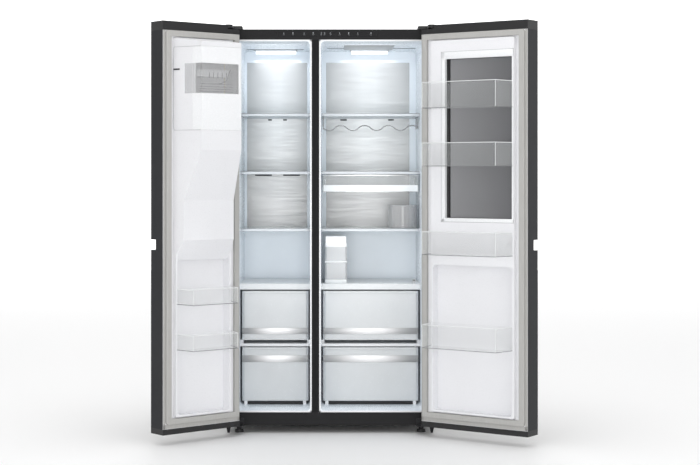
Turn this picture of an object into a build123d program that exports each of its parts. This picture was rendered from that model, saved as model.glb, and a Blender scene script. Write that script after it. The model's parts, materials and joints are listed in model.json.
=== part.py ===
"""Side by side refrigerator: freezer on the left, fresh food on the right, two swinging doors.

+X is to the right, +Y goes into the cabinet and +Z up. The origin is on the floor, under the
middle of the cabinet's front face. The doors stand open, and every drawer is pushed in.
"""

import os
from dataclasses import dataclass

from build123d import *

# Cabinet
CABINET_WIDTH = 913.0
CABINET_DEPTH = 622.0
CABINET_BOTTOM = 33.5
CABINET_TOP = 1753.5
SHEET = 1.0
SIDE_WALL = 50.5
TOP_WALL = 52.2
BOTTOM_WALL = 63.6
BACK_WALL = 60.0
PARTITION = 46.5
PARTITION_X = -64.0
LINER = 2.0
LINER_LIP = 7.0
LINER_CORNER = 18.0
MOUTH_FLARE = 8.0
MOUTH_DEPTH = 45.0
NICHE_DEPTH = 215.0
NICHE_TOP = 232.0
NICHE_INSULATION = 34.0

# Doors
DOOR_OPENING_LEFT = 140.2
DOOR_OPENING_RIGHT = 145.0
DOOR_THICKNESS = 90.3
DOOR_BOTTOM = 43.9
DOOR_TOP = 1760.0
DOOR_GAP = 6.0
LEFT_DOOR_WIDTH = 394.4
DOOR_SKIN = 1.0
DOOR_LINER = 2.0
TOP_CAP = 38.0
BOTTOM_CAP = 24.0
DOOR_EDGE_ROUND = 3.0
GASKET_THICKNESS = 13.5
GASKET_MARGIN = 12.0
GASKET_WIDTH = 23.0
GASKET_BOTTOM = 87.0
GASKET_TOP = 1719.3
GASKET_CLEARANCE = 0.8
DIKE_HEIGHT = 16.0
DIKE_WIDTH = 14.0
DIKE_INSET = 17.0
DIKE_TAPER = 14.0

# Hinges
HINGE_INSET = 19.5
HINGE_TO_RIM = 52.8
HINGE_PIN_RADIUS = 5.0
PIN_CLEARANCE = 0.05
HINGE_PLATE = 4.0
HINGE_PIN_LENGTH = 18.0
HINGE_RECESS_WIDTH = 62.0
HINGE_RECESS_DEPTH = 17.0
HINGE_COVER_HEIGHT = 14.0

# Handle pockets at the doors' free edges
POCKET_BOTTOM = 809.0
POCKET_HEIGHT = 43.0
POCKET_DEPTH = 38.0
POCKET_LENGTH = 250.0
POCKET_WALL = 2.5

# Shelves, drawers and fittings
SHELF_FRONT = 136.0
SHELF_HEIGHTS = (1394.0, 1137.0, 884.0)
SHELF_GLASS = 4.0
SHELF_TRIM_HEIGHT = 13.0
SHELF_TRIM_DEPTH = 10.0
SHELF_TRIM_ROUND = 2.0
COVER_ROUND = 4.0
DUCT_DEPTH = 122.0
BACK_PANEL_FRONT = CABINET_DEPTH - DUCT_DEPTH
BACK_PANEL = 3.0
METAL_PANEL = 1.2
METAL_PANEL_BOTTOM = 874.0
METAL_PANEL_TOP = 1642.0
COVER_TOP = 640.0
COVER_THICKNESS = 12.0
COVER_FRONT_HEIGHT = 27.0
UPPER_DRAWER_TOP = 607.0
UPPER_DRAWER_BOTTOM = 391.0
RAIL_TOP = 375.0
RAIL_HEIGHT = 12.0
LOWER_DRAWER_TOP = 358.0
LOWER_DRAWER_BOTTOM = 122.0
DRAWER_FRONT = 130.0
DRAWER_SIDE_GAP = 7.0
DRAWER_WALL = 2.5
DRAWER_FRONT_WALL = 14.0
DRAWER_BACK_GAP = 20.0
UPPER_DRAWER_DEPTH = BACK_PANEL_FRONT - DRAWER_BACK_GAP - DRAWER_FRONT
LOWER_DRAWER_DEPTH = 225.0

# Machine compartment and rolling gear
FOOT_RADIUS = 20.0
FOOT_HEIGHT = 12.0
FOOT_STEM_RADIUS = 6.0
FOOT_INSET = 59.5
FOOT_X = CABINET_WIDTH / 2 - FOOT_INSET
FOOT_Y = 34.0
ROLLER_RADIUS = 21.0
ROLLER_WIDTH = 24.0
ROLLER_AXLE_RADIUS = 4.0
ROLLER_FROM_BACK = 62.0
ROLLER_Y = CABINET_DEPTH - ROLLER_FROM_BACK
ROLLER_INSET = 61.5
ROLLER_X = CABINET_WIDTH / 2 - ROLLER_INSET


def front(y):
    """A plane facing out of the cabinet's front, at depth y. Its x and y are the model's X and Z."""
    return Plane(origin=(0, y, 0), x_dir=(1, 0, 0), z_dir=(0, -1, 0))


def level(z):
    """A horizontal plane at height z."""
    return Plane.XY.offset(z)


def side_on(x):
    """A plane facing +X. Its x and y are the model's Y and Z."""
    return Plane(origin=(x, 0, 0), x_dir=(0, 1, 0), z_dir=(1, 0, 0))


def block(x, y, z, mode=Mode.ADD):
    """A box between three pairs of limits, added to the part that is being built."""
    with Locations(((x[0] + x[1]) / 2, (y[0] + y[1]) / 2, (z[0] + z[1]) / 2)):
        Box(abs(x[1] - x[0]), abs(y[1] - y[0]), abs(z[1] - z[0]), mode=mode)


def rod(start, end, radius, mode=Mode.ADD):
    """A round bar from start to end."""
    run = Vector(end) - Vector(start)
    with BuildSketch(Plane(origin=start, z_dir=run)) as section:
        Circle(radius)
    extrude(section.sketch, amount=run.length, mode=mode)


def save(piece, label):
    piece.part.label = label
    export_step(piece.part, f"parts/{label}.step")


@dataclass
class Room:
    """One refrigerated compartment: its name and the limits of its mouth across the cabinet."""

    name: str
    mouth_left: float
    mouth_right: float
    flare_left: float
    flare_right: float

    @property
    def left(self):
        return self.mouth_left + self.flare_left

    @property
    def right(self):
        return self.mouth_right - self.flare_right


HALF_WIDTH = CABINET_WIDTH / 2
MOUTH_BOTTOM = CABINET_BOTTOM + BOTTOM_WALL
MOUTH_TOP = CABINET_TOP - TOP_WALL
ROOM_BOTTOM = MOUTH_BOTTOM + MOUTH_FLARE
ROOM_TOP = MOUTH_TOP - MOUTH_FLARE
ROOM_BACK = CABINET_DEPTH - BACK_WALL
NICHE_FRONT = CABINET_DEPTH - NICHE_DEPTH
STEP_FRONT = NICHE_FRONT - NICHE_INSULATION
STEP_TOP = NICHE_TOP + NICHE_INSULATION
FREEZER = Room("freezer", SIDE_WALL - HALF_WIDTH, PARTITION_X - PARTITION / 2, MOUTH_FLARE, 1.0)
FRIDGE = Room("fridge", PARTITION_X + PARTITION / 2, HALF_WIDTH - SIDE_WALL, 1.0, MOUTH_FLARE)
ROOMS = (FREEZER, FRIDGE)


@dataclass
class Door:
    """One door, described as it stands closed. side is -1 for the left door and 1 for the right."""

    name: str
    side: int
    width: float
    opening: float

    @property
    def hinge_x(self):
        return self.side * (HALF_WIDTH - HINGE_INSET)

    def x(self, along):
        """The model's X of a place that lies this far along the door from its hinge edge."""
        return self.side * (HALF_WIDTH - along)

    def span(self, start, end):
        """Two such places as limits in X, the lower first."""
        return tuple(sorted((self.x(start), self.x(end))))


RIM_Y = -GASKET_CLEARANCE - GASKET_THICKNESS
FACE_Y = RIM_Y - DOOR_THICKNESS
HINGE_Y = RIM_Y - HINGE_TO_RIM
LEFT_DOOR = Door("left_door", -1, LEFT_DOOR_WIDTH, DOOR_OPENING_LEFT)
RIGHT_DOOR = Door("right_door", 1, CABINET_WIDTH - DOOR_GAP - LEFT_DOOR_WIDTH, DOOR_OPENING_RIGHT)
DOORS = (LEFT_DOOR, RIGHT_DOOR)


def save_open(piece, door, label):
    """Write a piece of a door, swung with it from the closed place to the open one."""
    hinge = Axis((door.hinge_x, HINGE_Y, 0), (0, 0, 1))
    piece.part = piece.part.rotate(hinge, door.side * door.opening)
    save(piece, label)


# ---------------------------------------------------------------- cabinet


def room_volume(room, grow=0.0):
    """A compartment's inside as a solid, grown outwards, with the step over the machine niche."""
    with BuildPart() as volume:
        with BuildSketch(front(0)):
            with Locations(((room.mouth_left + room.mouth_right) / 2, (MOUTH_BOTTOM + MOUTH_TOP) / 2)):
                RectangleRounded(
                    room.mouth_right - room.mouth_left + 2 * grow,
                    MOUTH_TOP - MOUTH_BOTTOM + 2 * grow,
                    LINER_CORNER + grow,
                )
        with BuildSketch(front(MOUTH_DEPTH)) as inner:
            with Locations(((room.left + room.right) / 2, (ROOM_BOTTOM + ROOM_TOP) / 2)):
                RectangleRounded(
                    room.right - room.left + 2 * grow,
                    ROOM_TOP - ROOM_BOTTOM + 2 * grow,
                    LINER_CORNER + grow,
                )
        loft()
        extrude(inner.sketch, amount=-(ROOM_BACK + grow - MOUTH_DEPTH))
        block(
            (room.left - grow - 1, room.right + grow + 1),
            (STEP_FRONT + grow, ROOM_BACK + grow + 1),
            (ROOM_BOTTOM - grow - 1, STEP_TOP - grow),
            mode=Mode.SUBTRACT,
        )
    return volume.part


def make_liner(room):
    """A vacuum-formed white tub with a narrow lip that shows round the compartment's mouth."""
    middle = ((room.mouth_left + room.mouth_right) / 2, (MOUTH_BOTTOM + MOUTH_TOP) / 2)
    width = room.mouth_right - room.mouth_left
    height = MOUTH_TOP - MOUTH_BOTTOM
    with BuildPart() as liner:
        add(room_volume(room, LINER))
        with BuildSketch(front(0)):
            with Locations(middle):
                Rectangle(width + 2 * LINER_LIP, height + 2 * LINER_LIP)
        extrude(amount=-SHEET)
        add(room_volume(room), mode=Mode.SUBTRACT)
    save(liner, f"{room.name}_liner")


def make_outer_cabinet():
    """The folded steel wrap: both sides, the top and the flanges round the mouths."""
    inner = HALF_WIDTH - SHEET
    with BuildPart() as cabinet:
        block((-HALF_WIDTH, HALF_WIDTH), (0, CABINET_DEPTH), (CABINET_BOTTOM, CABINET_TOP))
        block(
            (-inner, inner),
            (SHEET, CABINET_DEPTH + 1),
            (CABINET_BOTTOM - 1, CABINET_TOP - SHEET),
            mode=Mode.SUBTRACT,
        )
        block(
            (FREEZER.mouth_left - LINER_LIP, FRIDGE.mouth_right + LINER_LIP),
            (-1, SHEET + 1),
            (CABINET_BOTTOM - 1, MOUTH_TOP + LINER_LIP),
            mode=Mode.SUBTRACT,
        )
        vertical = cabinet.edges().filter_by(Axis.Z).filter_by_position(Axis.Y, -0.1, 0.1)
        outside = vertical.group_by(Axis.X)[0] + vertical.group_by(Axis.X)[-1]
        fillet(outside, SHEET * 0.8)
    save(cabinet, "outer_cabinet")


def make_mullion_strip():
    """The steel strip on the front of the wall between the two compartments."""
    with BuildPart() as strip:
        block(
            (FREEZER.mouth_right + LINER_LIP, FRIDGE.mouth_left - LINER_LIP),
            (0, SHEET),
            (MOUTH_BOTTOM - LINER_LIP, MOUTH_TOP + LINER_LIP),
        )
    save(strip, "mullion_strip")


def make_base_pan():
    """The front bar under the mouths, the pan below the insulation and the niche's wall and roof."""
    inner = HALF_WIDTH - SHEET
    mouth = (FREEZER.mouth_left - LINER_LIP, FRIDGE.mouth_right + LINER_LIP)
    with BuildPart() as pan:
        block(mouth, (0, SHEET), (CABINET_BOTTOM, MOUTH_BOTTOM - LINER_LIP))
        block((-inner, inner), (SHEET, NICHE_FRONT), (CABINET_BOTTOM, CABINET_BOTTOM + SHEET))
        block((-inner, inner), (NICHE_FRONT, NICHE_FRONT + SHEET), (CABINET_BOTTOM, NICHE_TOP))
        block((-inner, inner), (NICHE_FRONT, CABINET_DEPTH - SHEET), (NICHE_TOP - SHEET, NICHE_TOP))
    save(pan, "base_pan")


def make_cabinet_back():
    inner = HALF_WIDTH - SHEET
    with BuildPart() as back:
        block(
            (-inner, inner),
            (CABINET_DEPTH - SHEET, CABINET_DEPTH),
            (NICHE_TOP - SHEET, CABINET_TOP - SHEET),
        )
    save(back, "cabinet_back")


def make_cabinet_foam():
    """The insulation between the liners and the steel, hollow over the machine niche."""
    inner = HALF_WIDTH - SHEET
    with BuildPart() as foam:
        block(
            (-inner, inner),
            (SHEET, CABINET_DEPTH - SHEET),
            (CABINET_BOTTOM + SHEET, CABINET_TOP - SHEET),
        )
        for room in ROOMS:
            add(room_volume(room, LINER), mode=Mode.SUBTRACT)
        block(
            (-HALF_WIDTH, HALF_WIDTH),
            (NICHE_FRONT, CABINET_DEPTH),
            (CABINET_BOTTOM, NICHE_TOP),
            mode=Mode.SUBTRACT,
        )
    save(foam, "cabinet_foam")


# ---------------------------------------------------------------- machine compartment

TRAY_TOP = CABINET_BOTTOM + 2.0
COMPRESSOR_RADIUS = 78.0
COMPRESSOR_HEIGHT = 150.0
COMPRESSOR_X = 210.0
COMPRESSOR_FROM_BACK = 110.0
COMPRESSOR_Y = CABINET_DEPTH - COMPRESSOR_FROM_BACK
COMPRESSOR_FOOT = 14.0
CONDENSER_X = (-372.0, -130.0)
CONDENSER_FROM_BACK = 32.0
CONDENSER_DEPTH = 150.0
CONDENSER_BACK = CABINET_DEPTH - CONDENSER_FROM_BACK
CONDENSER_Y = (CONDENSER_BACK - CONDENSER_DEPTH, CONDENSER_BACK)
CONDENSER_TUBE = 3.0
CONDENSER_ROWS = 6
CONDENSER_PITCH = 22.0
FAN_RADIUS = 70.0
FAN_X = -70.0
FAN_FROM_BACK = 107.0
FAN_Y = CABINET_DEPTH - FAN_FROM_BACK
FAN_Z = 125.0
FAN_BLADES = 5
FAN_PITCH = 35.0
GLAND_X = -250.0
GLAND_Z = 70.0
GLAND_BORE = 4.5
GLAND_RADIUS = 10.0
GLAND_LENGTH = 14.0
ROLLER_SLOT = 8.0


def roller_slots():
    """The two cut-outs in the machine tray that the rear rollers stand through."""
    for side in (-1, 1):
        x = side * ROLLER_X
        block(
            (x - ROLLER_WIDTH / 2 - 3, x + ROLLER_WIDTH / 2 + 3),
            (ROLLER_Y - ROLLER_RADIUS - ROLLER_SLOT, ROLLER_Y + ROLLER_RADIUS + ROLLER_SLOT),
            (CABINET_BOTTOM - 1, TRAY_TOP + 1),
            mode=Mode.SUBTRACT,
        )


def make_machine_tray():
    """The steel floor of the machine compartment, with the ears that carry the roller axles."""
    inner = HALF_WIDTH - SHEET
    axle_z = ROLLER_RADIUS
    with BuildPart() as tray:
        block((-inner, inner), (NICHE_FRONT + SHEET, CABINET_DEPTH - SHEET), (CABINET_BOTTOM, TRAY_TOP))
        roller_slots()
        for side in (-1, 1):
            for edge in (-1, 1):
                x = side * ROLLER_X + edge * (ROLLER_WIDTH / 2 + 4.5)
                block((x - 1.5, x + 1.5), (ROLLER_Y - 12, ROLLER_Y + 12), (axle_z - 10, TRAY_TOP))
            rod(
                (side * ROLLER_X - ROLLER_WIDTH / 2 - 6, ROLLER_Y, axle_z),
                (side * ROLLER_X + ROLLER_WIDTH / 2 + 6, ROLLER_Y, axle_z),
                ROLLER_AXLE_RADIUS,
            )
    save(tray, "machine_tray")


def make_rear_rollers():
    """The two plain rear wheels, which turn on axles in one line."""
    bore = ROLLER_AXLE_RADIUS + PIN_CLEARANCE
    with BuildPart() as rollers:
        for side in (-1, 1):
            with BuildSketch(side_on(side * ROLLER_X - ROLLER_WIDTH / 2)):
                with Locations((ROLLER_Y, ROLLER_RADIUS)):
                    Circle(ROLLER_RADIUS)
                    Circle(bore, mode=Mode.SUBTRACT)
            extrude(amount=ROLLER_WIDTH)
        rims = rollers.edges().filter_by(GeomType.CIRCLE).group_by(lambda e: round(e.radius, 3))[-1]
        fillet(rims, 3)
    save(rollers, "rear_rollers")


def make_foot(side, name):
    """A screw-down levelling foot under the front corner."""
    with BuildPart() as foot:
        with BuildSketch(level(0)):
            with Locations((side * FOOT_X, FOOT_Y)):
                Circle(FOOT_RADIUS)
        extrude(amount=FOOT_HEIGHT, taper=8)
        fillet(foot.faces().sort_by(Axis.Z)[0].edges(), 1.5)
        rod(
            (side * FOOT_X, FOOT_Y, FOOT_HEIGHT - 1),
            (side * FOOT_X, FOOT_Y, CABINET_BOTTOM - 2),
            FOOT_STEM_RADIUS,
        )
    save(foot, f"front_foot_{name}")


def make_compressor():
    """A domed sealed compressor on four rubber-footed legs."""
    base = TRAY_TOP + COMPRESSOR_FOOT
    centre = (COMPRESSOR_X, COMPRESSOR_Y)
    with BuildPart() as compressor:
        with BuildSketch(level(base)):
            with Locations(centre):
                Ellipse(COMPRESSOR_RADIUS * 1.15, COMPRESSOR_RADIUS)
        extrude(amount=COMPRESSOR_HEIGHT)
        fillet(compressor.faces().sort_by(Axis.Z)[-1].edges(), 38)
        fillet(compressor.faces().sort_by(Axis.Z)[0].edges(), 12)
        with BuildSketch(level(base + 4)):
            with Locations(centre):
                RectangleRounded(2.4 * COMPRESSOR_RADIUS, 1.9 * COMPRESSOR_RADIUS, 12)
        extrude(amount=3)
        for dx in (-1, 1):
            for dy in (-1, 1):
                x = COMPRESSOR_X + dx * COMPRESSOR_RADIUS * 1.08
                y = COMPRESSOR_Y + dy * COMPRESSOR_RADIUS * 0.82
                rod((x, y, TRAY_TOP), (x, y, base + 5), 9)
    save(compressor, "compressor")


def make_condenser():
    """A serpentine of tube in stacked rows, held by two side plates."""
    start = TRAY_TOP + 20
    ends = CONDENSER_X
    with BuildPart() as condenser:
        for row in range(CONDENSER_ROWS):
            z = start + row * CONDENSER_PITCH
            for y in CONDENSER_Y:
                rod((ends[0], y, z), (ends[1], y, z), CONDENSER_TUBE)
        for x in ends:
            block(
                (x - 2, x + 2),
                (CONDENSER_Y[0] - 8, CONDENSER_Y[1] + 8),
                (TRAY_TOP, start + CONDENSER_ROWS * CONDENSER_PITCH - 8),
            )
    save(condenser, "condenser")


def make_fan(name, centre, radius, depth, axis):
    """A small axial fan: a hub with flat pitched blades."""
    with BuildPart(Plane(origin=centre, z_dir=axis)) as fan:
        Cylinder(radius * 0.3, depth)
        with PolarLocations(radius * 0.6, FAN_BLADES):
            Box(radius * 0.8, depth, 2, rotation=(FAN_PITCH, 0, 0))
    save(fan, name)


def make_machine_cover():
    """The ribbed rear cover of the machine compartment, with rows of air slots."""
    inner = HALF_WIDTH - SHEET
    with BuildPart() as cover:
        block((-inner, inner), (CABINET_DEPTH - SHEET, CABINET_DEPTH), (CABINET_BOTTOM, NICHE_TOP - SHEET))
        with BuildSketch(front(CABINET_DEPTH - SHEET)):
            with Locations((0, (CABINET_BOTTOM + NICHE_TOP) / 2 + 12)):
                with GridLocations(70, 16, 11, 7):
                    SlotOverall(52, 6)
        extrude(amount=-SHEET, mode=Mode.SUBTRACT)
        with BuildSketch(front(CABINET_DEPTH - SHEET)):
            with Locations((GLAND_X, GLAND_Z - 20)):
                Circle(GLAND_RADIUS - 2)
        extrude(amount=-SHEET, mode=Mode.SUBTRACT)
    save(cover, "machine_cover")


def make_cord_gland():
    """The bush in the rear cover that the supply cord would come out of."""
    z = GLAND_Z - 20
    with BuildPart() as gland:
        with BuildSketch(front(CABINET_DEPTH)):
            with Locations((GLAND_X, z)):
                Circle(GLAND_RADIUS)
        extrude(amount=-4)
        with BuildSketch(front(CABINET_DEPTH + 4 - GLAND_LENGTH)):
            with Locations((GLAND_X, z)):
                Circle(GLAND_RADIUS - 2)
        extrude(amount=-(GLAND_LENGTH - 4))
        with BuildSketch(front(CABINET_DEPTH + 4 - GLAND_LENGTH)):
            with Locations((GLAND_X, z)):
                Circle(GLAND_BORE)
        extrude(amount=-GLAND_LENGTH, mode=Mode.SUBTRACT)
    save(gland, "cord_gland")


# ---------------------------------------------------------------- inside the compartments

PANEL_BORDERS = {"freezer": (12.0, 19.0), "fridge": (21.0, 30.0)}
VENT_HEIGHT = 7.0
VENTS = {
    "freezer": ((1376.5, -280, 19), (1376.5, -210, 19), (1119.5, -310, 79), (1119.5, -180, 79)),
    "fridge": ((1376.5, 62, 32), (1376.5, 283, 28), (866, 61, 23), (866, 285, 24)),
}
LAMP_Y = (400.0, 432.0)
LAMP_HEIGHT = 17.0
LAMPS = {"freezer": (-341.0, -157.0), "fridge": (98.0, 264.0)}
EVAPORATOR_Z = (300.0, 520.0)
EVAPORATOR_FINS = 20
EVAPORATOR_TUBE = 4.0
RUNNER_WIDTH = 14.0
FIT_UNDER_DRAWER = 0.4
SHELF_BACK_GAP = 8.0
SHELF_FRAME_WIDTH = 10.0
UTILITY_TOP = 1121.0
UTILITY_BOTTOM = 1045.0
UTILITY_DEPTH = 270.0
UTILITY_WALL = 2.2
UTILITY_SIDE_GAP = 6.0
RACK_WIRE = 2.2
RACK_FRONT = 150.0
RACK_DEPTH = 190.0
RACK_DROP = 52.0
RACK_WAVE = 22.0
RACK_WAVES = 4
TANK_X = (-24.0, 75.0)
TANK_DEPTH = 250.0
TANK_BODY_TOP = 802.0
TANK_LID_TOP = 850.0
TANK_LID = 14.0
TANK_CORNER = 10.0
TANK_GRIP_INSET = 4.0
TANK_GRIP_DEPTH = 40.0
TANK_GRIP_ROUND = 5.0
TANK_WALL = 2.5
TANK_FRONT = 160.0
BIN_WIDTH = 127.0
BIN_SIDE_GAP = 10.0
BIN_X = (FRIDGE.right - BIN_SIDE_GAP - BIN_WIDTH, FRIDGE.right - BIN_SIDE_GAP)
BIN_TOP = 986.0
BIN_FRONT = 150.0
BIN_DEPTH = 165.0
BIN_WALL = 2.2
SLIDER_X = 372.0
SLIDER_SIZE = (13.0, 8.0, 18.0)
PANEL_STRIP_X = (-232.0, 208.0)
PANEL_STRIP_Z = (1722.0, 1746.0)
PANEL_STRIP_THICKNESS = 1.6


def make_back_panel(room):
    """The white cover in front of the air duct, with its outlet slots."""
    with BuildPart() as panel:
        block(
            (room.left, room.right),
            (BACK_PANEL_FRONT, BACK_PANEL_FRONT + BACK_PANEL),
            (STEP_TOP + BACK_PANEL, ROOM_TOP),
        )
        add(room_volume(room), mode=Mode.INTERSECT)
        vent_slots(room)
    save(panel, f"{room.name}_back_panel")


def vent_slots(room):
    """Cut the room's outlet slots through the panels that stand near its back."""
    with BuildSketch(front(BACK_PANEL_FRONT - METAL_PANEL)) as slots:
        for z, x, width in VENTS[room.name]:
            with Locations((x, z)):
                SlotOverall(width, VENT_HEIGHT)
    extrude(slots.sketch, amount=-(METAL_PANEL + BACK_PANEL), mode=Mode.SUBTRACT)


def make_metal_panels():
    """The two brushed plates on the back panels, above the third shelf."""
    with BuildPart() as plates:
        for room in ROOMS:
            left, right = PANEL_BORDERS[room.name]
            block(
                (room.left + left, room.right - right),
                (BACK_PANEL_FRONT - METAL_PANEL, BACK_PANEL_FRONT),
                (METAL_PANEL_BOTTOM, METAL_PANEL_TOP),
            )
        for room in ROOMS:
            vent_slots(room)
    save(plates, "metal_panels")


def make_ceiling_lamps():
    with BuildPart() as lamps:
        for room in ROOMS:
            block(LAMPS[room.name], LAMP_Y, (ROOM_TOP - LAMP_HEIGHT, ROOM_TOP))
        fillet(lamps.edges().filter_by(Axis.X).group_by(Axis.Z)[0], 5)
    save(lamps, "ceiling_lamps")


def make_evaporator():
    """The finned coil behind the freezer's back panel."""
    left, right = FREEZER.left + 24, FREEZER.right - 24
    middle_y = (BACK_PANEL_FRONT + BACK_PANEL + ROOM_BACK) / 2
    pitch = (right - left) / (EVAPORATOR_FINS - 1)
    with BuildPart() as coil:
        for i in range(EVAPORATOR_FINS):
            x = left + i * pitch
            block((x - 0.4, x + 0.4), (middle_y - 20, middle_y + 20), EVAPORATOR_Z)
        for z in range(int(EVAPORATOR_Z[0]) + 20, int(EVAPORATOR_Z[1]), 36):
            rod((left - 8, middle_y, z), (right + 8, middle_y, z), EVAPORATOR_TUBE)
    save(coil, "evaporator")


def make_shelf_glass():
    with BuildPart() as glass:
        for room in ROOMS:
            for z in SHELF_HEIGHTS:
                block(
                    (room.left, room.right),
                    (SHELF_FRONT + SHELF_TRIM_DEPTH, BACK_PANEL_FRONT - SHELF_BACK_GAP),
                    (z - SHELF_GLASS, z),
                )
    save(glass, "shelf_glass")


def front_edges(piece, y):
    """The edges across the piece being built that lie in its front plane."""
    return piece.edges().filter_by(Axis.X).filter_by_position(Axis.Y, y - 0.1, y + 0.1)


def make_shelf_trims():
    """The frame under each glass shelf, with the bright bar along its front."""
    with BuildPart() as trims:
        for room in ROOMS:
            for z in SHELF_HEIGHTS:
                back = BACK_PANEL_FRONT - SHELF_BACK_GAP
                low = z - SHELF_TRIM_HEIGHT
                across = (room.left, room.right)
                under = (low, z - SHELF_GLASS)
                block(across, (SHELF_FRONT, SHELF_FRONT + SHELF_TRIM_DEPTH), (low, z))
                block((room.left, room.left + SHELF_FRAME_WIDTH), (SHELF_FRONT, back), under)
                block((room.right - SHELF_FRAME_WIDTH, room.right), (SHELF_FRONT, back), under)
                block(across, (back - SHELF_FRAME_WIDTH, back), under)
        fillet(front_edges(trims, SHELF_FRONT), SHELF_TRIM_ROUND)
    save(trims, "shelf_trims")


def make_drawer_covers():
    """The fixed shelf over each pair of drawers, with a deeper front bar."""
    with BuildPart() as covers:
        for room in ROOMS:
            back = BACK_PANEL_FRONT - SHELF_BACK_GAP
            block(
                (room.left, room.right),
                (DRAWER_FRONT, back),
                (COVER_TOP - COVER_THICKNESS, COVER_TOP),
            )
            block(
                (room.left, room.right),
                (DRAWER_FRONT, DRAWER_FRONT + COVER_THICKNESS),
                (COVER_TOP - COVER_FRONT_HEIGHT, COVER_TOP),
            )
        fillet(front_edges(covers, DRAWER_FRONT), COVER_ROUND)
    save(covers, "drawer_covers")


def make_drawer_rails():
    """The bar between the drawers with its side runners, and the runners on the floor."""
    with BuildPart() as rails:
        for room in ROOMS:
            front_bar = (DRAWER_FRONT, DRAWER_FRONT + RAIL_HEIGHT)
            block((room.left, room.right), front_bar, (RAIL_TOP - RAIL_HEIGHT, RAIL_TOP))
            sides = ((room.left, room.left + RUNNER_WIDTH), (room.right - RUNNER_WIDTH, room.right))
            for x in sides:
                block(
                    x,
                    (DRAWER_FRONT, DRAWER_FRONT + UPPER_DRAWER_DEPTH),
                    (RAIL_TOP - RAIL_HEIGHT, RAIL_TOP),
                )
                block(
                    x,
                    (DRAWER_FRONT + RAIL_HEIGHT, DRAWER_FRONT + UPPER_DRAWER_DEPTH),
                    (RAIL_TOP, UPPER_DRAWER_BOTTOM - FIT_UNDER_DRAWER),
                )
                block(
                    (x[0] + LINER_CORNER, x[1] + LINER_CORNER)
                    if x[0] == room.left
                    else (x[0] - LINER_CORNER, x[1] - LINER_CORNER),
                    (DRAWER_FRONT, DRAWER_FRONT + LOWER_DRAWER_DEPTH),
                    (ROOM_BOTTOM, LOWER_DRAWER_BOTTOM - FIT_UNDER_DRAWER),
                )
    save(rails, "drawer_rails")


def open_box(x, y, z, wall, corner, front_wall=None):
    """A bin with rounded upright corners, open at the top, added to the part being built."""
    thick = front_wall or wall
    with BuildSketch(level(z[0])) as outside:
        with Locations(((x[0] + x[1]) / 2, (y[0] + y[1]) / 2)):
            RectangleRounded(x[1] - x[0], y[1] - y[0], corner)
    extrude(outside.sketch, amount=z[1] - z[0])
    with BuildSketch(level(z[0] + wall)) as inside:
        with Locations(((x[0] + x[1]) / 2, (y[0] + thick + y[1] - wall) / 2)):
            RectangleRounded(x[1] - x[0] - 2 * wall, y[1] - y[0] - wall - thick, corner - wall)
    extrude(inside.sketch, amount=z[1] - z[0], mode=Mode.SUBTRACT)


def make_drawer(room, name, bottom, top, depth):
    x = (room.left + DRAWER_SIDE_GAP, room.right - DRAWER_SIDE_GAP)
    with BuildPart() as drawer:
        open_box(
            x,
            (DRAWER_FRONT, DRAWER_FRONT + depth),
            (bottom, top),
            DRAWER_WALL,
            DRAWER_FRONT_WALL,
            front_wall=DRAWER_FRONT_WALL,
        )
    save(drawer, f"{room.name}_{name}_drawer")


def make_utility_box():
    x = (FRIDGE.left + UTILITY_SIDE_GAP, FRIDGE.right - UTILITY_SIDE_GAP)
    with BuildPart() as box:
        open_box(
            x,
            (SHELF_FRONT + 2, SHELF_FRONT + 2 + UTILITY_DEPTH),
            (UTILITY_BOTTOM, UTILITY_TOP),
            UTILITY_WALL,
            8,
        )
    save(box, "utility_box")


def make_bottle_rack():
    """A wire rack that hangs under the top shelf: a waved front wire, side arms and cross wires."""
    left, right = FRIDGE.left + 8, FRIDGE.right - 8
    hook = SHELF_HEIGHTS[0] - SHELF_TRIM_HEIGHT
    z = hook - RACK_DROP
    half = (right - left) / (2 * RACK_WAVES)
    back = RACK_FRONT + RACK_DEPTH
    with BuildPart() as rack:
        for y in (RACK_FRONT, back):
            with BuildLine(front(y)) as wave:
                for i in range(2 * RACK_WAVES):
                    x = left + i * half
                    bend = RACK_WAVE / 2 if i % 2 else -RACK_WAVE / 2
                    ThreePointArc((x, z), (x + half / 2, z + bend), (x + half, z))
            with BuildSketch(Plane(origin=wave.wires()[0] @ 0, z_dir=wave.wires()[0] % 0)):
                Circle(RACK_WIRE)
            sweep(path=wave.wires()[0])
        for x in (left, right):
            rod((x, RACK_FRONT, z), (x, back, z), RACK_WIRE)
            rod((x, RACK_FRONT + 20, z), (x, RACK_FRONT + 20, hook), RACK_WIRE)
            rod((x, back - 20, z), (x, back - 20, hook), RACK_WIRE)
    save(rack, "bottle_rack")


def make_water_tank():
    with BuildPart() as tank:
        open_box(TANK_X, (TANK_FRONT, TANK_FRONT + TANK_DEPTH), (COVER_TOP, TANK_BODY_TOP), TANK_WALL, 10)
    save(tank, "water_tank")


def make_tank_lid():
    """The white lid of the water tank, with a raised grip along its front."""
    with BuildPart() as lid:
        with BuildSketch(level(TANK_BODY_TOP)):
            with Locations(((TANK_X[0] + TANK_X[1]) / 2, TANK_FRONT + TANK_DEPTH / 2)):
                RectangleRounded(TANK_X[1] - TANK_X[0], TANK_DEPTH, TANK_CORNER)
        extrude(amount=TANK_LID)
        block(
            (TANK_X[0] + TANK_GRIP_INSET, TANK_X[1] - TANK_GRIP_INSET),
            (TANK_FRONT, TANK_FRONT + TANK_GRIP_DEPTH),
            (TANK_BODY_TOP + TANK_LID, TANK_LID_TOP),
        )
        fillet(lid.faces().sort_by(Axis.Z)[-1].edges(), TANK_GRIP_ROUND)
    save(lid, "tank_lid")


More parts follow.
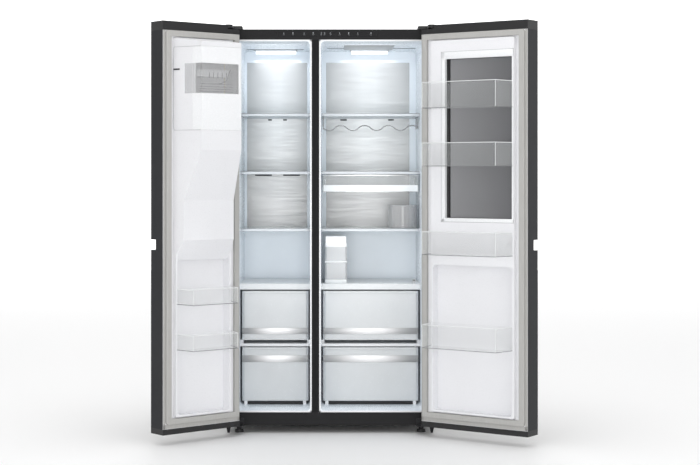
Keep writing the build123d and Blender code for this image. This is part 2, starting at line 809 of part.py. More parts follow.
def bin_plan(z, wall):
    """The half-round bin's plan at height z, drawn this far inside its outer face."""
    middle = (BIN_X[0] + BIN_X[1]) / 2
    half = (BIN_X[1] - BIN_X[0]) / 2 - wall
    start = BIN_FRONT + (BIN_X[1] - BIN_X[0]) / 2
    back = BIN_FRONT + BIN_DEPTH - wall
    with BuildSketch(level(z)) as plan:
        with BuildLine():
            Polyline(
                (middle - half, start),
                (middle - half, back),
                (middle + half, back),
                (middle + half, start),
            )
            ThreePointArc(
                (middle + half, start),
                (middle, BIN_FRONT + wall),
                (middle - half, start),
            )
        make_face()
    return plan.sketch


def make_clear_bin():
    """A small bin with a half-round front, on the third shelf."""
    base = SHELF_HEIGHTS[2]
    with BuildPart() as clear:
        extrude(bin_plan(base, 0), amount=BIN_TOP - base)
        extrude(bin_plan(base + BIN_WALL, BIN_WALL), amount=BIN_TOP - base, mode=Mode.SUBTRACT)
    save(clear, "clear_bin")


def make_humidity_slider():
    """The knob that slides along the bar over the fresh food drawers."""
    x = (SLIDER_X - SLIDER_SIZE[0] / 2, SLIDER_X + SLIDER_SIZE[0] / 2)
    with BuildPart() as knob:
        block(
            x,
            (DRAWER_FRONT + 20, DRAWER_FRONT + 20 + SLIDER_SIZE[1]),
            (COVER_TOP + 0.3, COVER_TOP + SLIDER_SIZE[2]),
        )
        fillet(knob.edges().filter_by(Axis.Y), 2)
    save(knob, "humidity_slider")


def make_control_panel():
    """The black glass strip on the bar over the compartments."""
    with BuildPart() as panel:
        with BuildSketch(front(0)):
            with Locations((sum(PANEL_STRIP_X) / 2, sum(PANEL_STRIP_Z) / 2)):
                RectangleRounded(
                    PANEL_STRIP_X[1] - PANEL_STRIP_X[0], PANEL_STRIP_Z[1] - PANEL_STRIP_Z[0], 3
                )
        extrude(amount=PANEL_STRIP_THICKNESS)
    save(panel, "control_panel")


# ---------------------------------------------------------------- hinges

CAP_SEAT = DOOR_TOP - HINGE_RECESS_DEPTH
HINGE_ARM_HALF = 13.0
HINGE_PLATE_WIDTH = 62.0
HINGE_PLATE_Y = (12.0, 66.0)
HINGE_COVER_WALL = 2.0
HINGE_COVER_HALF = 17.0
HINGE_COVER_WIDTH = 73.0
HINGE_COVER_Y = (-9.0, 78.0)
HINGE_BOLT_RADIUS = 5.0
BOTTOM_LEAF_GAP = 3.0
BOTTOM_LEAF_WIDTH = 74.0
BOTTOM_LEAF_TOP = 65.0
BOTTOM_NUT_BOTTOM = 12.0
FOOT_BUSH_WALL = 5.0


def make_top_hinges():
    """The bolted plates on the cabinet's top, whose pins drop into the door caps."""
    with BuildPart() as hinges:
        for door in DOORS:
            plate_x = door.hinge_x - door.side * (HINGE_PLATE_WIDTH / 2 - HINGE_ARM_HALF)
            with BuildSketch(level(CABINET_TOP)):
                with Locations((door.hinge_x, HINGE_Y)):
                    Circle(HINGE_ARM_HALF)
                with Locations((door.hinge_x, (HINGE_Y + HINGE_PLATE_Y[1]) / 2)):
                    Rectangle(2 * HINGE_ARM_HALF, HINGE_PLATE_Y[1] - HINGE_Y)
                with Locations((plate_x, sum(HINGE_PLATE_Y) / 2)):
                    Rectangle(HINGE_PLATE_WIDTH, HINGE_PLATE_Y[1] - HINGE_PLATE_Y[0])
            extrude(amount=HINGE_PLATE)
            with BuildSketch(level(CABINET_TOP + HINGE_PLATE)):
                with Locations((plate_x, sum(HINGE_PLATE_Y) / 2)):
                    with GridLocations(HINGE_PLATE_WIDTH - 18, 34, 2, 2):
                        RegularPolygon(HINGE_BOLT_RADIUS, 6)
            extrude(amount=4)
            rod(
                (door.hinge_x, HINGE_Y, CABINET_TOP + 1),
                (door.hinge_x, HINGE_Y, CAP_SEAT - HINGE_PIN_LENGTH),
                HINGE_PIN_RADIUS,
            )
    save(hinges, "top_hinges")


def cover_outline(door, wall):
    """The plan of a hinge cover, drawn this far inside its outer face."""
    outer = HALF_WIDTH - 2 - wall
    inner = HALF_WIDTH - 2 - HINGE_COVER_WIDTH + wall
    x = door.side * (outer + inner) / 2
    y = (HINGE_COVER_Y[0] + wall, HINGE_COVER_Y[1] - wall)
    half = HINGE_COVER_HALF - wall
    with Locations((x, sum(y) / 2)):
        RectangleRounded(outer - inner, y[1] - y[0], 8 - wall)
    with Locations((door.hinge_x, (HINGE_Y + y[1]) / 2)):
        Rectangle(2 * half, y[1] - HINGE_Y)
    with Locations((door.hinge_x, HINGE_Y)):
        Circle(half)


def make_hinge_covers():
    """The black covers over the top hinges, which reach out over the hinge recess in each door."""
    with BuildPart() as covers:
        for door in DOORS:
            with BuildSketch(level(CABINET_TOP)):
                cover_outline(door, 0)
            extrude(amount=HINGE_COVER_HEIGHT)
        fillet(covers.faces().filter_by(Axis.Z).group_by(Axis.Z)[-1].edges(), 2)
        for door in DOORS:
            with BuildSketch(level(CABINET_TOP)):
                cover_outline(door, HINGE_COVER_WALL)
            extrude(amount=HINGE_COVER_HEIGHT - HINGE_COVER_WALL, mode=Mode.SUBTRACT)
    save(covers, "hinge_covers")


def make_bottom_hinges():
    """The brackets under the doors, each with its pin, its adjusting nut and the foot's bush."""
    socket = FOOT_STEM_RADIUS + PIN_CLEARANCE
    leaf_top = DOOR_BOTTOM - BOTTOM_LEAF_GAP
    leaf_bottom = leaf_top - HINGE_PLATE
    with BuildPart() as brackets:
        for door in DOORS:
            outer = door.hinge_x + door.side * 12
            x = tuple(sorted((outer, outer - door.side * BOTTOM_LEAF_WIDTH)))
            block(x, (HINGE_Y, 0), (leaf_bottom, leaf_top))
            with BuildSketch(level(leaf_bottom)):
                with Locations((door.hinge_x, HINGE_Y)):
                    Circle(12)
            extrude(amount=HINGE_PLATE)
            block(x, (-HINGE_PLATE, 0), (CABINET_BOTTOM - HINGE_PLATE, BOTTOM_LEAF_TOP))
            block(x, (-HINGE_PLATE, FOOT_Y + 24), (CABINET_BOTTOM - HINGE_PLATE, CABINET_BOTTOM))
            with BuildSketch(level(FOOT_HEIGHT + 4)):
                with Locations((door.side * FOOT_X, FOOT_Y)):
                    Circle(FOOT_STEM_RADIUS + FOOT_BUSH_WALL)
            extrude(amount=CABINET_BOTTOM - FOOT_HEIGHT - 4)
            rod(
                (door.hinge_x, HINGE_Y, leaf_bottom),
                (door.hinge_x, HINGE_Y, DOOR_BOTTOM + HINGE_PIN_LENGTH),
                HINGE_PIN_RADIUS,
            )
            with BuildSketch(level(BOTTOM_NUT_BOTTOM)):
                with Locations((door.hinge_x, HINGE_Y)):
                    Circle(HINGE_PIN_RADIUS)
            extrude(amount=leaf_bottom - BOTTOM_NUT_BOTTOM, taper=-12)
        for door in DOORS:
            with BuildSketch(level(FOOT_HEIGHT)):
                with Locations((door.side * FOOT_X, FOOT_Y)):
                    Circle(socket)
            extrude(amount=CABINET_BOTTOM - FOOT_HEIGHT, mode=Mode.SUBTRACT)
    save(brackets, "bottom_hinges")


# ---------------------------------------------------------------- doors

SKIN_BOTTOM = DOOR_BOTTOM + BOTTOM_CAP
SKIN_TOP = DOOR_TOP - TOP_CAP
LINER_BACK = RIM_Y - DOOR_LINER
RECESS_DEPTH = 26.0
RECESS_END_GAP = 36.0
RIGHT_RECESS_TOP = 740.0
WINDOW_ALONG = (127.0, 447.0)
WINDOW_Z = (939.0, 1611.0)
WINDOW_GLASS = 4.0
WINDOW_SLEEVE = 3.0
OUTER_PANE_MARGIN = 24.0
BULGE_BASE = (55.0, 344.0)
BULGE_TOP = (95.0, 298.0)
BULGE_OUT = 140.0
BULGE_WALL = 2.5
CHUTE_OUT = 52.0
BULGE_Z = (765.0, 850.0, 1015.0, 1223.0, 1672.0, 1690.0)
ICE_ROOM_Z = (1306.0, 1652.0)
ICE_COVER_OUT = 96.0
ICE_COVER_GAP = 0.6
ICE_WINDOW_Z = (1458.0, 1582.0)
ICE_WINDOW_BORDER = 14.0
ICE_COVER_EDGE = 6.0
ICE_ROOM_FLOOR_GAP = 2.0
DISPENSER_ALONG = (98.0, 288.0)
DISPENSER_Z = (905.0, 1235.0)
DISPENSER_DEPTH = 92.0
DISPENSER_WALL = 3.0
DISPENSER_BEZEL = 10.0
DISPENSER_PANEL = 88.0
PADDLE_Z = 1165.0
PADDLE_SIZE = (52.0, 78.0, 4.0)
PADDLE_BEHIND = 52.0
RIGHT_BASKETS = ((396.0, 495.0), (786.0, 884.0), (1157.0, 1256.0), (1400.0, 1510.0))
LEFT_BASKETS = ((394.0, 460.0), (583.0, 649.0))
BASKET_WALL = 2.5
RIGHT_BASKET_ENDS = ((58.0, 452.0), (82.0, 433.0))
LEFT_BASKET_ENDS = ((58.0, 336.0), (94.0, 321.0))
RIGHT_BASKET_OUT = 130.0
LEFT_BASKET_OUT = 115.0


def door_plan(door, points, z):
    """A closed outline in plan at height z, from (along, out) pairs. Out is into the cabinet."""
    with BuildSketch(level(z)) as plan:
        with BuildLine():
            Polyline(*[(door.x(along), RIM_Y + out) for along, out in points], close=True)
        make_face()
    return plan.sketch


def pocket_box(door, wall, mode):
    """The handle pocket, open at the door's free edge and outer face, grown by a wall."""
    block(
        door.span(door.width - POCKET_LENGTH - wall, door.width + (1 if wall == 0 else 0)),
        (FACE_Y - (1 if wall == 0 else 0), FACE_Y + POCKET_DEPTH + wall),
        (POCKET_BOTTOM - wall, POCKET_BOTTOM + POCKET_HEIGHT + wall),
        mode=mode,
    )


def recess_box(door, grow, mode):
    """The shallow recess pressed into a door's liner between its dikes."""
    low = GASKET_BOTTOM + RECESS_END_GAP
    high = RIGHT_RECESS_TOP if door is RIGHT_DOOR else GASKET_TOP - RECESS_END_GAP
    edge = GASKET_MARGIN + GASKET_WIDTH + DIKE_INSET + DIKE_WIDTH
    with BuildSketch(front(RIM_Y - RECESS_DEPTH - grow)) as outline:
        with Locations(((door.x(edge) + door.x(door.width - edge)) / 2, (low + high) / 2)):
            RectangleRounded(door.width - 2 * edge + 2 * grow, high - low + 2 * grow, 16)
    through = RECESS_DEPTH + DIKE_HEIGHT + 2 * grow
    extrude(outline.sketch, amount=-(through if mode == Mode.SUBTRACT else RECESS_DEPTH), mode=mode)


def window_shaft(door, grow, mode=Mode.SUBTRACT):
    """The opening for the glass, right through the door."""
    block(
        door.span(WINDOW_ALONG[0] - grow, WINDOW_ALONG[1] + grow),
        (FACE_Y - 1, RIM_Y + DIKE_HEIGHT + 1),
        (WINDOW_Z[0] - grow, WINDOW_Z[1] + grow),
        mode=mode,
    )


def dispenser_box(door, grow, mode=Mode.SUBTRACT):
    """The niche of the ice and water dispenser in the door's outer face, grown by a wall."""
    block(
        door.span(DISPENSER_ALONG[0] - grow, DISPENSER_ALONG[1] + grow),
        (FACE_Y - 1, FACE_Y + DISPENSER_DEPTH + grow),
        (DISPENSER_Z[0] - grow, DISPENSER_Z[1] + grow),
        mode=mode,
    )


def outer_pane(door, mode):
    """The outer sheet of glass, which lies flush in the door's face."""
    grow = OUTER_PANE_MARGIN
    block(
        door.span(WINDOW_ALONG[0] - grow, WINDOW_ALONG[1] + grow),
        (FACE_Y, FACE_Y + WINDOW_GLASS),
        (WINDOW_Z[0] - grow, WINDOW_Z[1] + grow),
        mode=mode,
    )


def make_door_skin(door):
    """The folded steel face and edges of a door, with the handle pocket let into it."""
    with BuildPart() as skin:
        block(door.span(0, door.width), (FACE_Y, LINER_BACK), (SKIN_BOTTOM, SKIN_TOP))
        corners = skin.edges().filter_by(Axis.Z).group_by(Axis.Y)[0]
        fillet(corners, DOOR_EDGE_ROUND)
        block(
            door.span(DOOR_SKIN, door.width - DOOR_SKIN),
            (FACE_Y + DOOR_SKIN, RIM_Y),
            (SKIN_BOTTOM - 1, SKIN_TOP + 1),
            mode=Mode.SUBTRACT,
        )
        pocket_box(door, POCKET_WALL, Mode.ADD)
        pocket_box(door, 0, Mode.SUBTRACT)
        if door is RIGHT_DOOR:
            outer_pane(door, Mode.SUBTRACT)
        else:
            dispenser_box(door, DISPENSER_WALL)
    save_open(skin, door, f"{door.name}_skin")


def make_door_caps(door):
    """The plastic ends of a door, with the hinge recess above and a pin bore in each."""
    bore = HINGE_PIN_RADIUS + PIN_CLEARANCE
    with BuildPart() as caps:
        block(door.span(0, door.width), (FACE_Y, RIM_Y), (DOOR_BOTTOM, SKIN_BOTTOM))
        block(door.span(0, door.width), (FACE_Y, RIM_Y), (SKIN_TOP, DOOR_TOP))
        fillet(caps.edges().filter_by(Axis.Z).group_by(Axis.Y)[0], DOOR_EDGE_ROUND)
        block(
            door.span(-1, HINGE_RECESS_WIDTH),
            (FACE_Y - 1, RIM_Y + 1),
            (CAP_SEAT, DOOR_TOP + 1),
            mode=Mode.SUBTRACT,
        )
        with BuildSketch(level(CAP_SEAT - HINGE_PIN_LENGTH - 2)):
            with Locations((door.hinge_x, HINGE_Y)):
                Circle(bore)
        extrude(amount=HINGE_PIN_LENGTH + 3, mode=Mode.SUBTRACT)
        with BuildSketch(level(DOOR_BOTTOM - 1)):
            with Locations((door.hinge_x, HINGE_Y)):
                Circle(bore)
        extrude(amount=HINGE_PIN_LENGTH + 3, mode=Mode.SUBTRACT)
    save_open(caps, door, f"{door.name}_caps")


def make_door_foam(door):
    with BuildPart() as foam:
        block(
            door.span(DOOR_SKIN, door.width - DOOR_SKIN),
            (FACE_Y + DOOR_SKIN, LINER_BACK),
            (SKIN_BOTTOM, SKIN_TOP),
        )
        fillet(foam.edges().filter_by(Axis.Z).group_by(Axis.Y)[0], DOOR_EDGE_ROUND)
        pocket_box(door, POCKET_WALL, Mode.SUBTRACT)
        recess_box(door, DOOR_LINER, Mode.SUBTRACT)
        if door is RIGHT_DOOR:
            outer_pane(door, Mode.SUBTRACT)
            window_shaft(door, WINDOW_SLEEVE)
        else:
            dispenser_box(door, DISPENSER_WALL)
            add(bulge_volume(door, 0), mode=Mode.SUBTRACT)
    save_open(foam, door, f"{door.name}_foam")


def make_door_gasket(door):
    """The soft seal that runs round the inside of a door."""
    middle = ((door.x(0) + door.x(door.width)) / 2, (GASKET_BOTTOM + GASKET_TOP) / 2)
    width = door.width - 2 * GASKET_MARGIN
    height = GASKET_TOP - GASKET_BOTTOM
    with BuildPart() as gasket:
        with BuildSketch(front(RIM_Y)):
            with Locations(middle):
                RectangleRounded(width, height, 10)
                Rectangle(width - 2 * GASKET_WIDTH, height - 2 * GASKET_WIDTH, mode=Mode.SUBTRACT)
        extrude(amount=-GASKET_THICKNESS)
        top = gasket.faces().sort_by(Axis.Y)[-1]
        fillet(top.outer_wire().edges(), 3)
    save_open(gasket, door, f"{door.name}_gasket")


def liner_plate(door):
    """The flat of a door's liner with its raised dike and the recess between."""
    inside = GASKET_MARGIN + GASKET_WIDTH + DIKE_INSET
    low, high = GASKET_BOTTOM + GASKET_WIDTH + 2, GASKET_TOP - GASKET_WIDTH - 2
    block(door.span(DOOR_SKIN, door.width - DOOR_SKIN), (LINER_BACK, RIM_Y), (SKIN_BOTTOM, SKIN_TOP))
    recess_box(door, DOOR_LINER, Mode.ADD)
    with BuildSketch(front(RIM_Y)) as dike:
        with Locations(((door.x(0) + door.x(door.width)) / 2, (low + high) / 2)):
            RectangleRounded(door.width - 2 * inside, high - low, 12)
    extrude(dike.sketch, amount=-DIKE_HEIGHT, taper=DIKE_TAPER)
    recess_box(door, 0, Mode.SUBTRACT)


def bulge_volume(door, inset):
    """The housing that stands out from the left door's liner, drawn this far inside its face."""
    base, top = BULGE_BASE, BULGE_TOP
    z = BULGE_Z
    out = BULGE_OUT - inset
    with BuildPart() as volume:
        points = (
            (base[0] + inset, -RECESS_DEPTH),
            (base[0] + inset, 0),
            (top[0] + inset, out),
            (top[1] - inset, out),
            (base[1] - inset, 0),
            (base[1] - inset, -RECESS_DEPTH),
        )
        extrude(door_plan(door, points, z[0] + inset), amount=z[5] - z[0] - 2 * inset)
        with BuildSketch(side_on(0)) as profile:
            with BuildLine():
                Polyline(
                    (RIM_Y - RECESS_DEPTH, z[0] + inset),
                    (RIM_Y, z[0] + inset),
                    (RIM_Y + CHUTE_OUT - inset, z[1]),
                    (RIM_Y + CHUTE_OUT - inset, z[2]),
                    (RIM_Y + out, z[3]),
                    (RIM_Y + out, z[4] - inset),
                    (RIM_Y, z[5] - inset),
                    (RIM_Y - RECESS_DEPTH, z[5] - inset),
                    close=True,
                )
            make_face()
        extrude(profile.sketch, amount=HALF_WIDTH, both=True, mode=Mode.INTERSECT)
    return volume.part


def cover_zone(door, gap, mode=Mode.ADD):
    """The front part of the ice room, which its hinged cover fills. A gap makes it smaller."""
    block(
        door.span(BULGE_BASE[0], BULGE_BASE[1]),
        (RIM_Y + ICE_COVER_OUT + gap, RIM_Y + BULGE_OUT + 1),
        (ICE_ROOM_Z[0] + gap, ICE_ROOM_Z[1] - gap),
        mode=mode,
    )


def ice_room_floor(door):
    """The wall under the ice room, inside the hollow front of the left door's liner."""
    top = ICE_ROOM_Z[0] - ICE_ROOM_FLOOR_GAP
    with BuildPart() as floor:
        block(
            door.span(0, door.width),
            (RIM_Y - RECESS_DEPTH, RIM_Y + BULGE_OUT),
            (top - BULGE_WALL, top),
        )
        add(bulge_volume(door, BULGE_WALL), mode=Mode.INTERSECT)
    return floor.part


def ice_cover_hollow(door):
    """The space inside the ice room's cover, short of its top and bottom edges."""
    with BuildPart() as hollow:
        add(bulge_volume(door, BULGE_WALL))
        block(
            door.span(0, door.width),
            (RIM_Y, RIM_Y + BULGE_OUT),
            (ICE_ROOM_Z[0] + ICE_COVER_EDGE, ICE_ROOM_Z[1] - ICE_COVER_EDGE),
            mode=Mode.INTERSECT,
        )
    return hollow.part


def make_door_liner(door):
    """The white inner face of a door. The left one has the ice room and the dispenser housing."""
    with BuildPart() as liner:
        liner_plate(door)
        if door is RIGHT_DOOR:
            window_shaft(door, WINDOW_SLEEVE)
        else:
            add(bulge_volume(door, 0))
            add(bulge_volume(door, BULGE_WALL), mode=Mode.SUBTRACT)
            add(ice_room_floor(door))
            cover_zone(door, 0, Mode.SUBTRACT)
            dispenser_box(door, DISPENSER_WALL)
    save_open(liner, door, f"{door.name}_liner")


ICE_BIN_ALONG = (112.0, 286.0)
ICE_BIN_OUT = (-6.0, 88.0)
ICE_BIN_Z = (1306.5, 1446.0)
ICE_BIN_WALL = 2.5
ICE_BIN_CORNER = 10.0
ICE_TRAY_Z = 1545.0
ICE_TRAY_OUT = 44.0
ICE_TRAY_ALONG = (120.0, 280.0)
ICE_TRAY_SIZE = (70.0, 30.0)
ICE_TRAY_CELLS = 5
DRIP_TRAY_HEIGHT = 10.0
PADDLE_PIVOT_RADIUS = 3.0


def make_ice_room_cover():
    """The hinged front of the ice room, white, with an opening where the ice bin shows."""
    door = LEFT_DOOR
    with BuildPart() as cover:
        add(bulge_volume(door, 0))
        cover_zone(door, ICE_COVER_GAP, Mode.INTERSECT)
        add(ice_cover_hollow(door), mode=Mode.SUBTRACT)
        block(
            door.span(BULGE_TOP[0] + ICE_WINDOW_BORDER, BULGE_BASE[1]),
            (RIM_Y + ICE_COVER_OUT + ICE_WINDOW_BORDER, RIM_Y + BULGE_OUT + 1),
            ICE_WINDOW_Z,
            mode=Mode.SUBTRACT,
        )
    save_open(cover, door, "ice_room_cover")


def make_ice_bin():
    """The clear ribbed bin that catches the ice, open at the top."""
    door = LEFT_DOOR
    with BuildPart() as bin_:
        open_box(
            door.span(*ICE_BIN_ALONG),
            (RIM_Y + ICE_BIN_OUT[0], RIM_Y + ICE_BIN_OUT[1]),
            ICE_BIN_Z,
            ICE_BIN_WALL,
            ICE_BIN_CORNER,
        )
    save_open(bin_, door, "ice_bin")


def make_ice_tray():
    """The twisting ice mould: a tray of pockets on one lengthwise spindle."""
    door = LEFT_DOOR
    y = RIM_Y + ICE_TRAY_OUT
    start, end = door.span(*ICE_TRAY_ALONG)
    width, height = ICE_TRAY_SIZE
    pitch = (end - start - 4) / ICE_TRAY_CELLS
    with BuildPart() as tray:
        block(
            (start, end),
            (y - width / 2, y + width / 2),
            (ICE_TRAY_Z - height / 2, ICE_TRAY_Z + height / 2),
        )
        with BuildSketch(level(ICE_TRAY_Z + height / 2)):
            with Locations(((start + end) / 2, y)):
                with GridLocations(pitch, width / 2 - 1, ICE_TRAY_CELLS, 2):
                    RectangleRounded(pitch - 3, width / 2 - 5, 4)
        extrude(amount=-(height - 4), taper=6, mode=Mode.SUBTRACT)
        rod((start - 8, y, ICE_TRAY_Z), (start + 2, y, ICE_TRAY_Z), 4)
        rod((end - 2, y, ICE_TRAY_Z), (end + 6, y, ICE_TRAY_Z), 4)
    save_open(tray, door, "ice_tray")


def basket(door, out, z, ends):
    """One clear door basket with slanted ends, added to the part being built."""
    back = DIKE_HEIGHT + 0.5
    wall = BASKET_WALL

    def outline(inset):
        """The plan: narrower at the front than at the back, drawn this far inside."""
        (back_start, back_end), (front_start, front_end) = ends
        return (
            (back_start + inset, back + inset),
            (front_start + inset, out - inset),
            (front_end - inset, out - inset),
            (back_end - inset, back + inset),
        )

    extrude(door_plan(door, outline(0), z[0]), amount=z[1] - z[0])
    extrude(door_plan(door, outline(wall), z[0] + wall), amount=z[1] - z[0], mode=Mode.SUBTRACT)


def make_right_baskets():
    door = RIGHT_DOOR
    with BuildPart() as baskets:
        for z in RIGHT_BASKETS:
            basket(door, RIGHT_BASKET_OUT, z, RIGHT_BASKET_ENDS)
    save_open(baskets, door, "right_door_baskets")


def make_left_baskets():
    door = LEFT_DOOR
    with BuildPart() as baskets:
        for z in LEFT_BASKETS:
            basket(door, LEFT_BASKET_OUT, z, LEFT_BASKET_ENDS)
    save_open(baskets, door, "left_door_baskets")


def make_dispenser_housing():
    """The niche of the dispenser with its frame, its touch panel and its ice chute."""
    door = LEFT_DOOR
    grow = DISPENSER_BEZEL
    middle = (DISPENSER_ALONG[0] + DISPENSER_ALONG[1]) / 2
    wall = DISPENSER_WALL
    with BuildPart() as housing:
        block(
            door.span(DISPENSER_ALONG[0] - wall, DISPENSER_ALONG[1] + wall),
            (FACE_Y, FACE_Y + DISPENSER_DEPTH + wall),
            (DISPENSER_Z[0] - wall, DISPENSER_Z[1] + wall),
        )
        block(
            door.span(DISPENSER_ALONG[0] - grow, DISPENSER_ALONG[1] + grow),
            (FACE_Y - 2, FACE_Y),
            (DISPENSER_Z[0] - grow, DISPENSER_Z[1] + DISPENSER_PANEL),
        )
        dispenser_box(door, 0)
        block(
            door.span(*DISPENSER_ALONG),
            (FACE_Y - 3, FACE_Y),
            DISPENSER_Z,
            mode=Mode.SUBTRACT,
        )
        with BuildSketch(level(DISPENSER_Z[1])):
            with Locations((door.x(middle), FACE_Y + 40)):
                Circle(24)
        extrude(amount=-34, taper=10)
        block(
            door.span(DISPENSER_ALONG[0], DISPENSER_ALONG[1]),
            (FACE_Y + DISPENSER_DEPTH - 12, FACE_Y + DISPENSER_DEPTH),
            (PADDLE_Z + 8, DISPENSER_Z[1]),
        )
    save_open(housing, door, "dispenser_housing")


def make_dispenser_paddle():
    """The lever behind the glass, which tips back about its top edge."""
    door = LEFT_DOOR
    middle = (DISPENSER_ALONG[0] + DISPENSER_ALONG[1]) / 2
    width, height, thick = PADDLE_SIZE
    y = FACE_Y + PADDLE_BEHIND
    with BuildPart() as paddle:
        block(
            door.span(middle - width / 2, middle + width / 2),
            (y, y + thick),
            (PADDLE_Z - height, PADDLE_Z),
        )
        fillet(paddle.edges().filter_by(Axis.Y), 8)
        ends = door.span(middle - width / 2 + 6, middle + width / 2 - 6)
        rod((ends[0], y + thick / 2, PADDLE_Z), (ends[1], y + thick / 2, PADDLE_Z), PADDLE_PIVOT_RADIUS)
    save_open(paddle, door, "dispenser_paddle")


def make_drip_tray():
    """The lift-out tray with bars at the foot of the dispenser."""
    door = LEFT_DOOR
    x = door.span(DISPENSER_ALONG[0] + 1, DISPENSER_ALONG[1] - 1)
    y = (FACE_Y + 2, FACE_Y + DISPENSER_DEPTH - 14)
    with BuildPart() as tray:
        block(x, y, (DISPENSER_Z[0], DISPENSER_Z[0] + DRIP_TRAY_HEIGHT))
        with BuildSketch(level(DISPENSER_Z[0] + DRIP_TRAY_HEIGHT)):
            with Locations((sum(x) / 2, sum(y) / 2)):
                with GridLocations(12, 0, 14, 1):
                    SlotOverall(y[1] - y[0] - 12, 6, rotation=90)
        extrude(amount=-(DRIP_TRAY_HEIGHT - 3), mode=Mode.SUBTRACT)
    save_open(tray, door, "drip_tray")


def make_window_glass():
    """The dark outer sheet of glass and the inner pane of the right door's window."""
    door = RIGHT_DOOR
    with BuildPart() as glass:
        outer_pane(door, Mode.ADD)
        block(
            door.span(*WINDOW_ALONG),
            (RIM_Y - WINDOW_GLASS, RIM_Y),
            WINDOW_Z,
        )
    save_open(glass, door, "window_glass")


def make_window_frame():
    """The white frame of the window with the sleeve that lines the opening."""
    door = RIGHT_DOOR
    with BuildPart() as frame:
        block(
            door.span(WINDOW_ALONG[0] - WINDOW_SLEEVE, WINDOW_ALONG[1] + WINDOW_SLEEVE),
            (FACE_Y + WINDOW_GLASS, RIM_Y + DIKE_HEIGHT),
            (WINDOW_Z[0] - WINDOW_SLEEVE, WINDOW_Z[1] + WINDOW_SLEEVE),
        )
        window_shaft(door, 0)
    save_open(frame, door, "window_frame")


def make_everything():
    os.makedirs("parts", exist_ok=True)
    make_outer_cabinet()
    make_mullion_strip()
    make_base_pan()
    make_cabinet_back()
    make_cabinet_foam()
    for room in ROOMS:
        make_liner(room)
        make_back_panel(room)
        make_drawer(room, "upper", UPPER_DRAWER_BOTTOM, UPPER_DRAWER_TOP, UPPER_DRAWER_DEPTH)
        make_drawer(room, "lower", LOWER_DRAWER_BOTTOM, LOWER_DRAWER_TOP, LOWER_DRAWER_DEPTH)
    make_machine_tray()
    make_rear_rollers()
    make_foot(-1, "left")
    make_foot(1, "right")
    make_compressor()
    make_condenser()
    make_fan("condenser_fan", (FAN_X, FAN_Y, FAN_Z), FAN_RADIUS, 24.0, (1, 0, 0))
    evaporator_y = (BACK_PANEL_FRONT + BACK_PANEL + ROOM_BACK) / 2
    freezer_x = (FREEZER.left + FREEZER.right) / 2
    make_fan("evaporator_fan", (freezer_x, evaporator_y, EVAPORATOR_Z[1] + 70), 46.0, 26.0, (0, 1, 0))
    make_machine_cover()
    make_cord_gland()
    make_metal_panels()
    make_ceiling_lamps()
    make_evaporator()
    make_shelf_glass()
    make_shelf_trims()
    make_drawer_covers()
    make_drawer_rails()
    make_utility_box()
    make_bottle_rack()
    make_water_tank()
    make_tank_lid()
    make_clear_bin()
    make_humidity_slider()
    make_control_panel()
    make_top_hinges()
    make_hinge_covers()
    make_bottom_hinges()
    for door in DOORS:
        make_door_skin(door)
        make_door_caps(door)
        make_door_foam(door)
        make_door_gasket(door)
        make_door_liner(door)
    make_ice_room_cover()
    make_ice_bin()
    make_ice_tray()
    make_left_baskets()
    make_right_baskets()
    make_dispenser_housing()
    make_dispenser_paddle()
    make_drip_tray()
    make_window_glass()
    make_window_frame()


make_everything()
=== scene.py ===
import json
from math import cos, pi, radians, sin

import bpy
from bpy.props import FloatProperty, FloatVectorProperty, IntProperty, PointerProperty
from bpy.types import Operator, Panel, PropertyGroup
from mathutils import Matrix, Vector


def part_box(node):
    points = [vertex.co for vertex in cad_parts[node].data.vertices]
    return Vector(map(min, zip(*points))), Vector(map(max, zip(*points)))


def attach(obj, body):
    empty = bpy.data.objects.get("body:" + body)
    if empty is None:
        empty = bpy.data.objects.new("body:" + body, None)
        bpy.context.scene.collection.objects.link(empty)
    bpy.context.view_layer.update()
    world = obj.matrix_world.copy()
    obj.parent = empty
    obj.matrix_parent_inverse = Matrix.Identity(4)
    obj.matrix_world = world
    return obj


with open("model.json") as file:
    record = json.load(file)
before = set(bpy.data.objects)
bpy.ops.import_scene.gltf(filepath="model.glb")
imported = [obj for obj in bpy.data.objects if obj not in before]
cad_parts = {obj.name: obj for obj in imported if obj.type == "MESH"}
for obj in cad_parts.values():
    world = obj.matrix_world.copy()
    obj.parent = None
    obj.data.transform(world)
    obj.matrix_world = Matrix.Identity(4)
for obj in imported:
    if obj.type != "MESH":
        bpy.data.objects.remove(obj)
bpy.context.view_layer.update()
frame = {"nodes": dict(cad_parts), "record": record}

bl_info = {
    "name": "Side by Side Refrigerator",
    "version": (1, 0, 0),
    "blender": (4, 5, 0),
    "location": "View3D > Sidebar > Refrigerator",
    "description": "Finishes and fittings of a side by side refrigerator",
    "category": "Object",
}

# The doors stand open at rest. A door's pieces are modelled on the closed door and swung.
JOINTS = {joint["name"]: joint for joint in frame["record"]["behaviour"]["joints"]}
HALF_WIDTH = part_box("outer_cabinet")[1].x
DOOR_RIM = -0.0143
LEFT, RIGHT = -1, 1
SMOOTH_ANGLE = 35.0
SWING = {
    LEFT: radians(JOINTS["left_door_hinge"]["range_deg"][0]),
    RIGHT: -radians(JOINTS["right_door_hinge"]["range_deg"][0]),
}
DOOR_BODY = {LEFT: "left_door", RIGHT: "right_door"}
SIDE_NAME = {LEFT: "left", RIGHT: "right"}
DOOR_WIDTH = {LEFT: 0.3944, RIGHT: 0.5126}


def hinge_pin(side):
    x, y, z = JOINTS[SIDE_NAME[side] + "_door_hinge"]["pos_m"]
    return Vector((x, y, 0.0))


# ------------------------------------------------------------------ modelling

def clear():
    """Leave edit mode with nothing selected."""
    if bpy.context.object is not None and bpy.context.object.mode != "OBJECT":
        bpy.ops.object.mode_set(mode="OBJECT")
    bpy.ops.object.select_all(action="DESELECT")


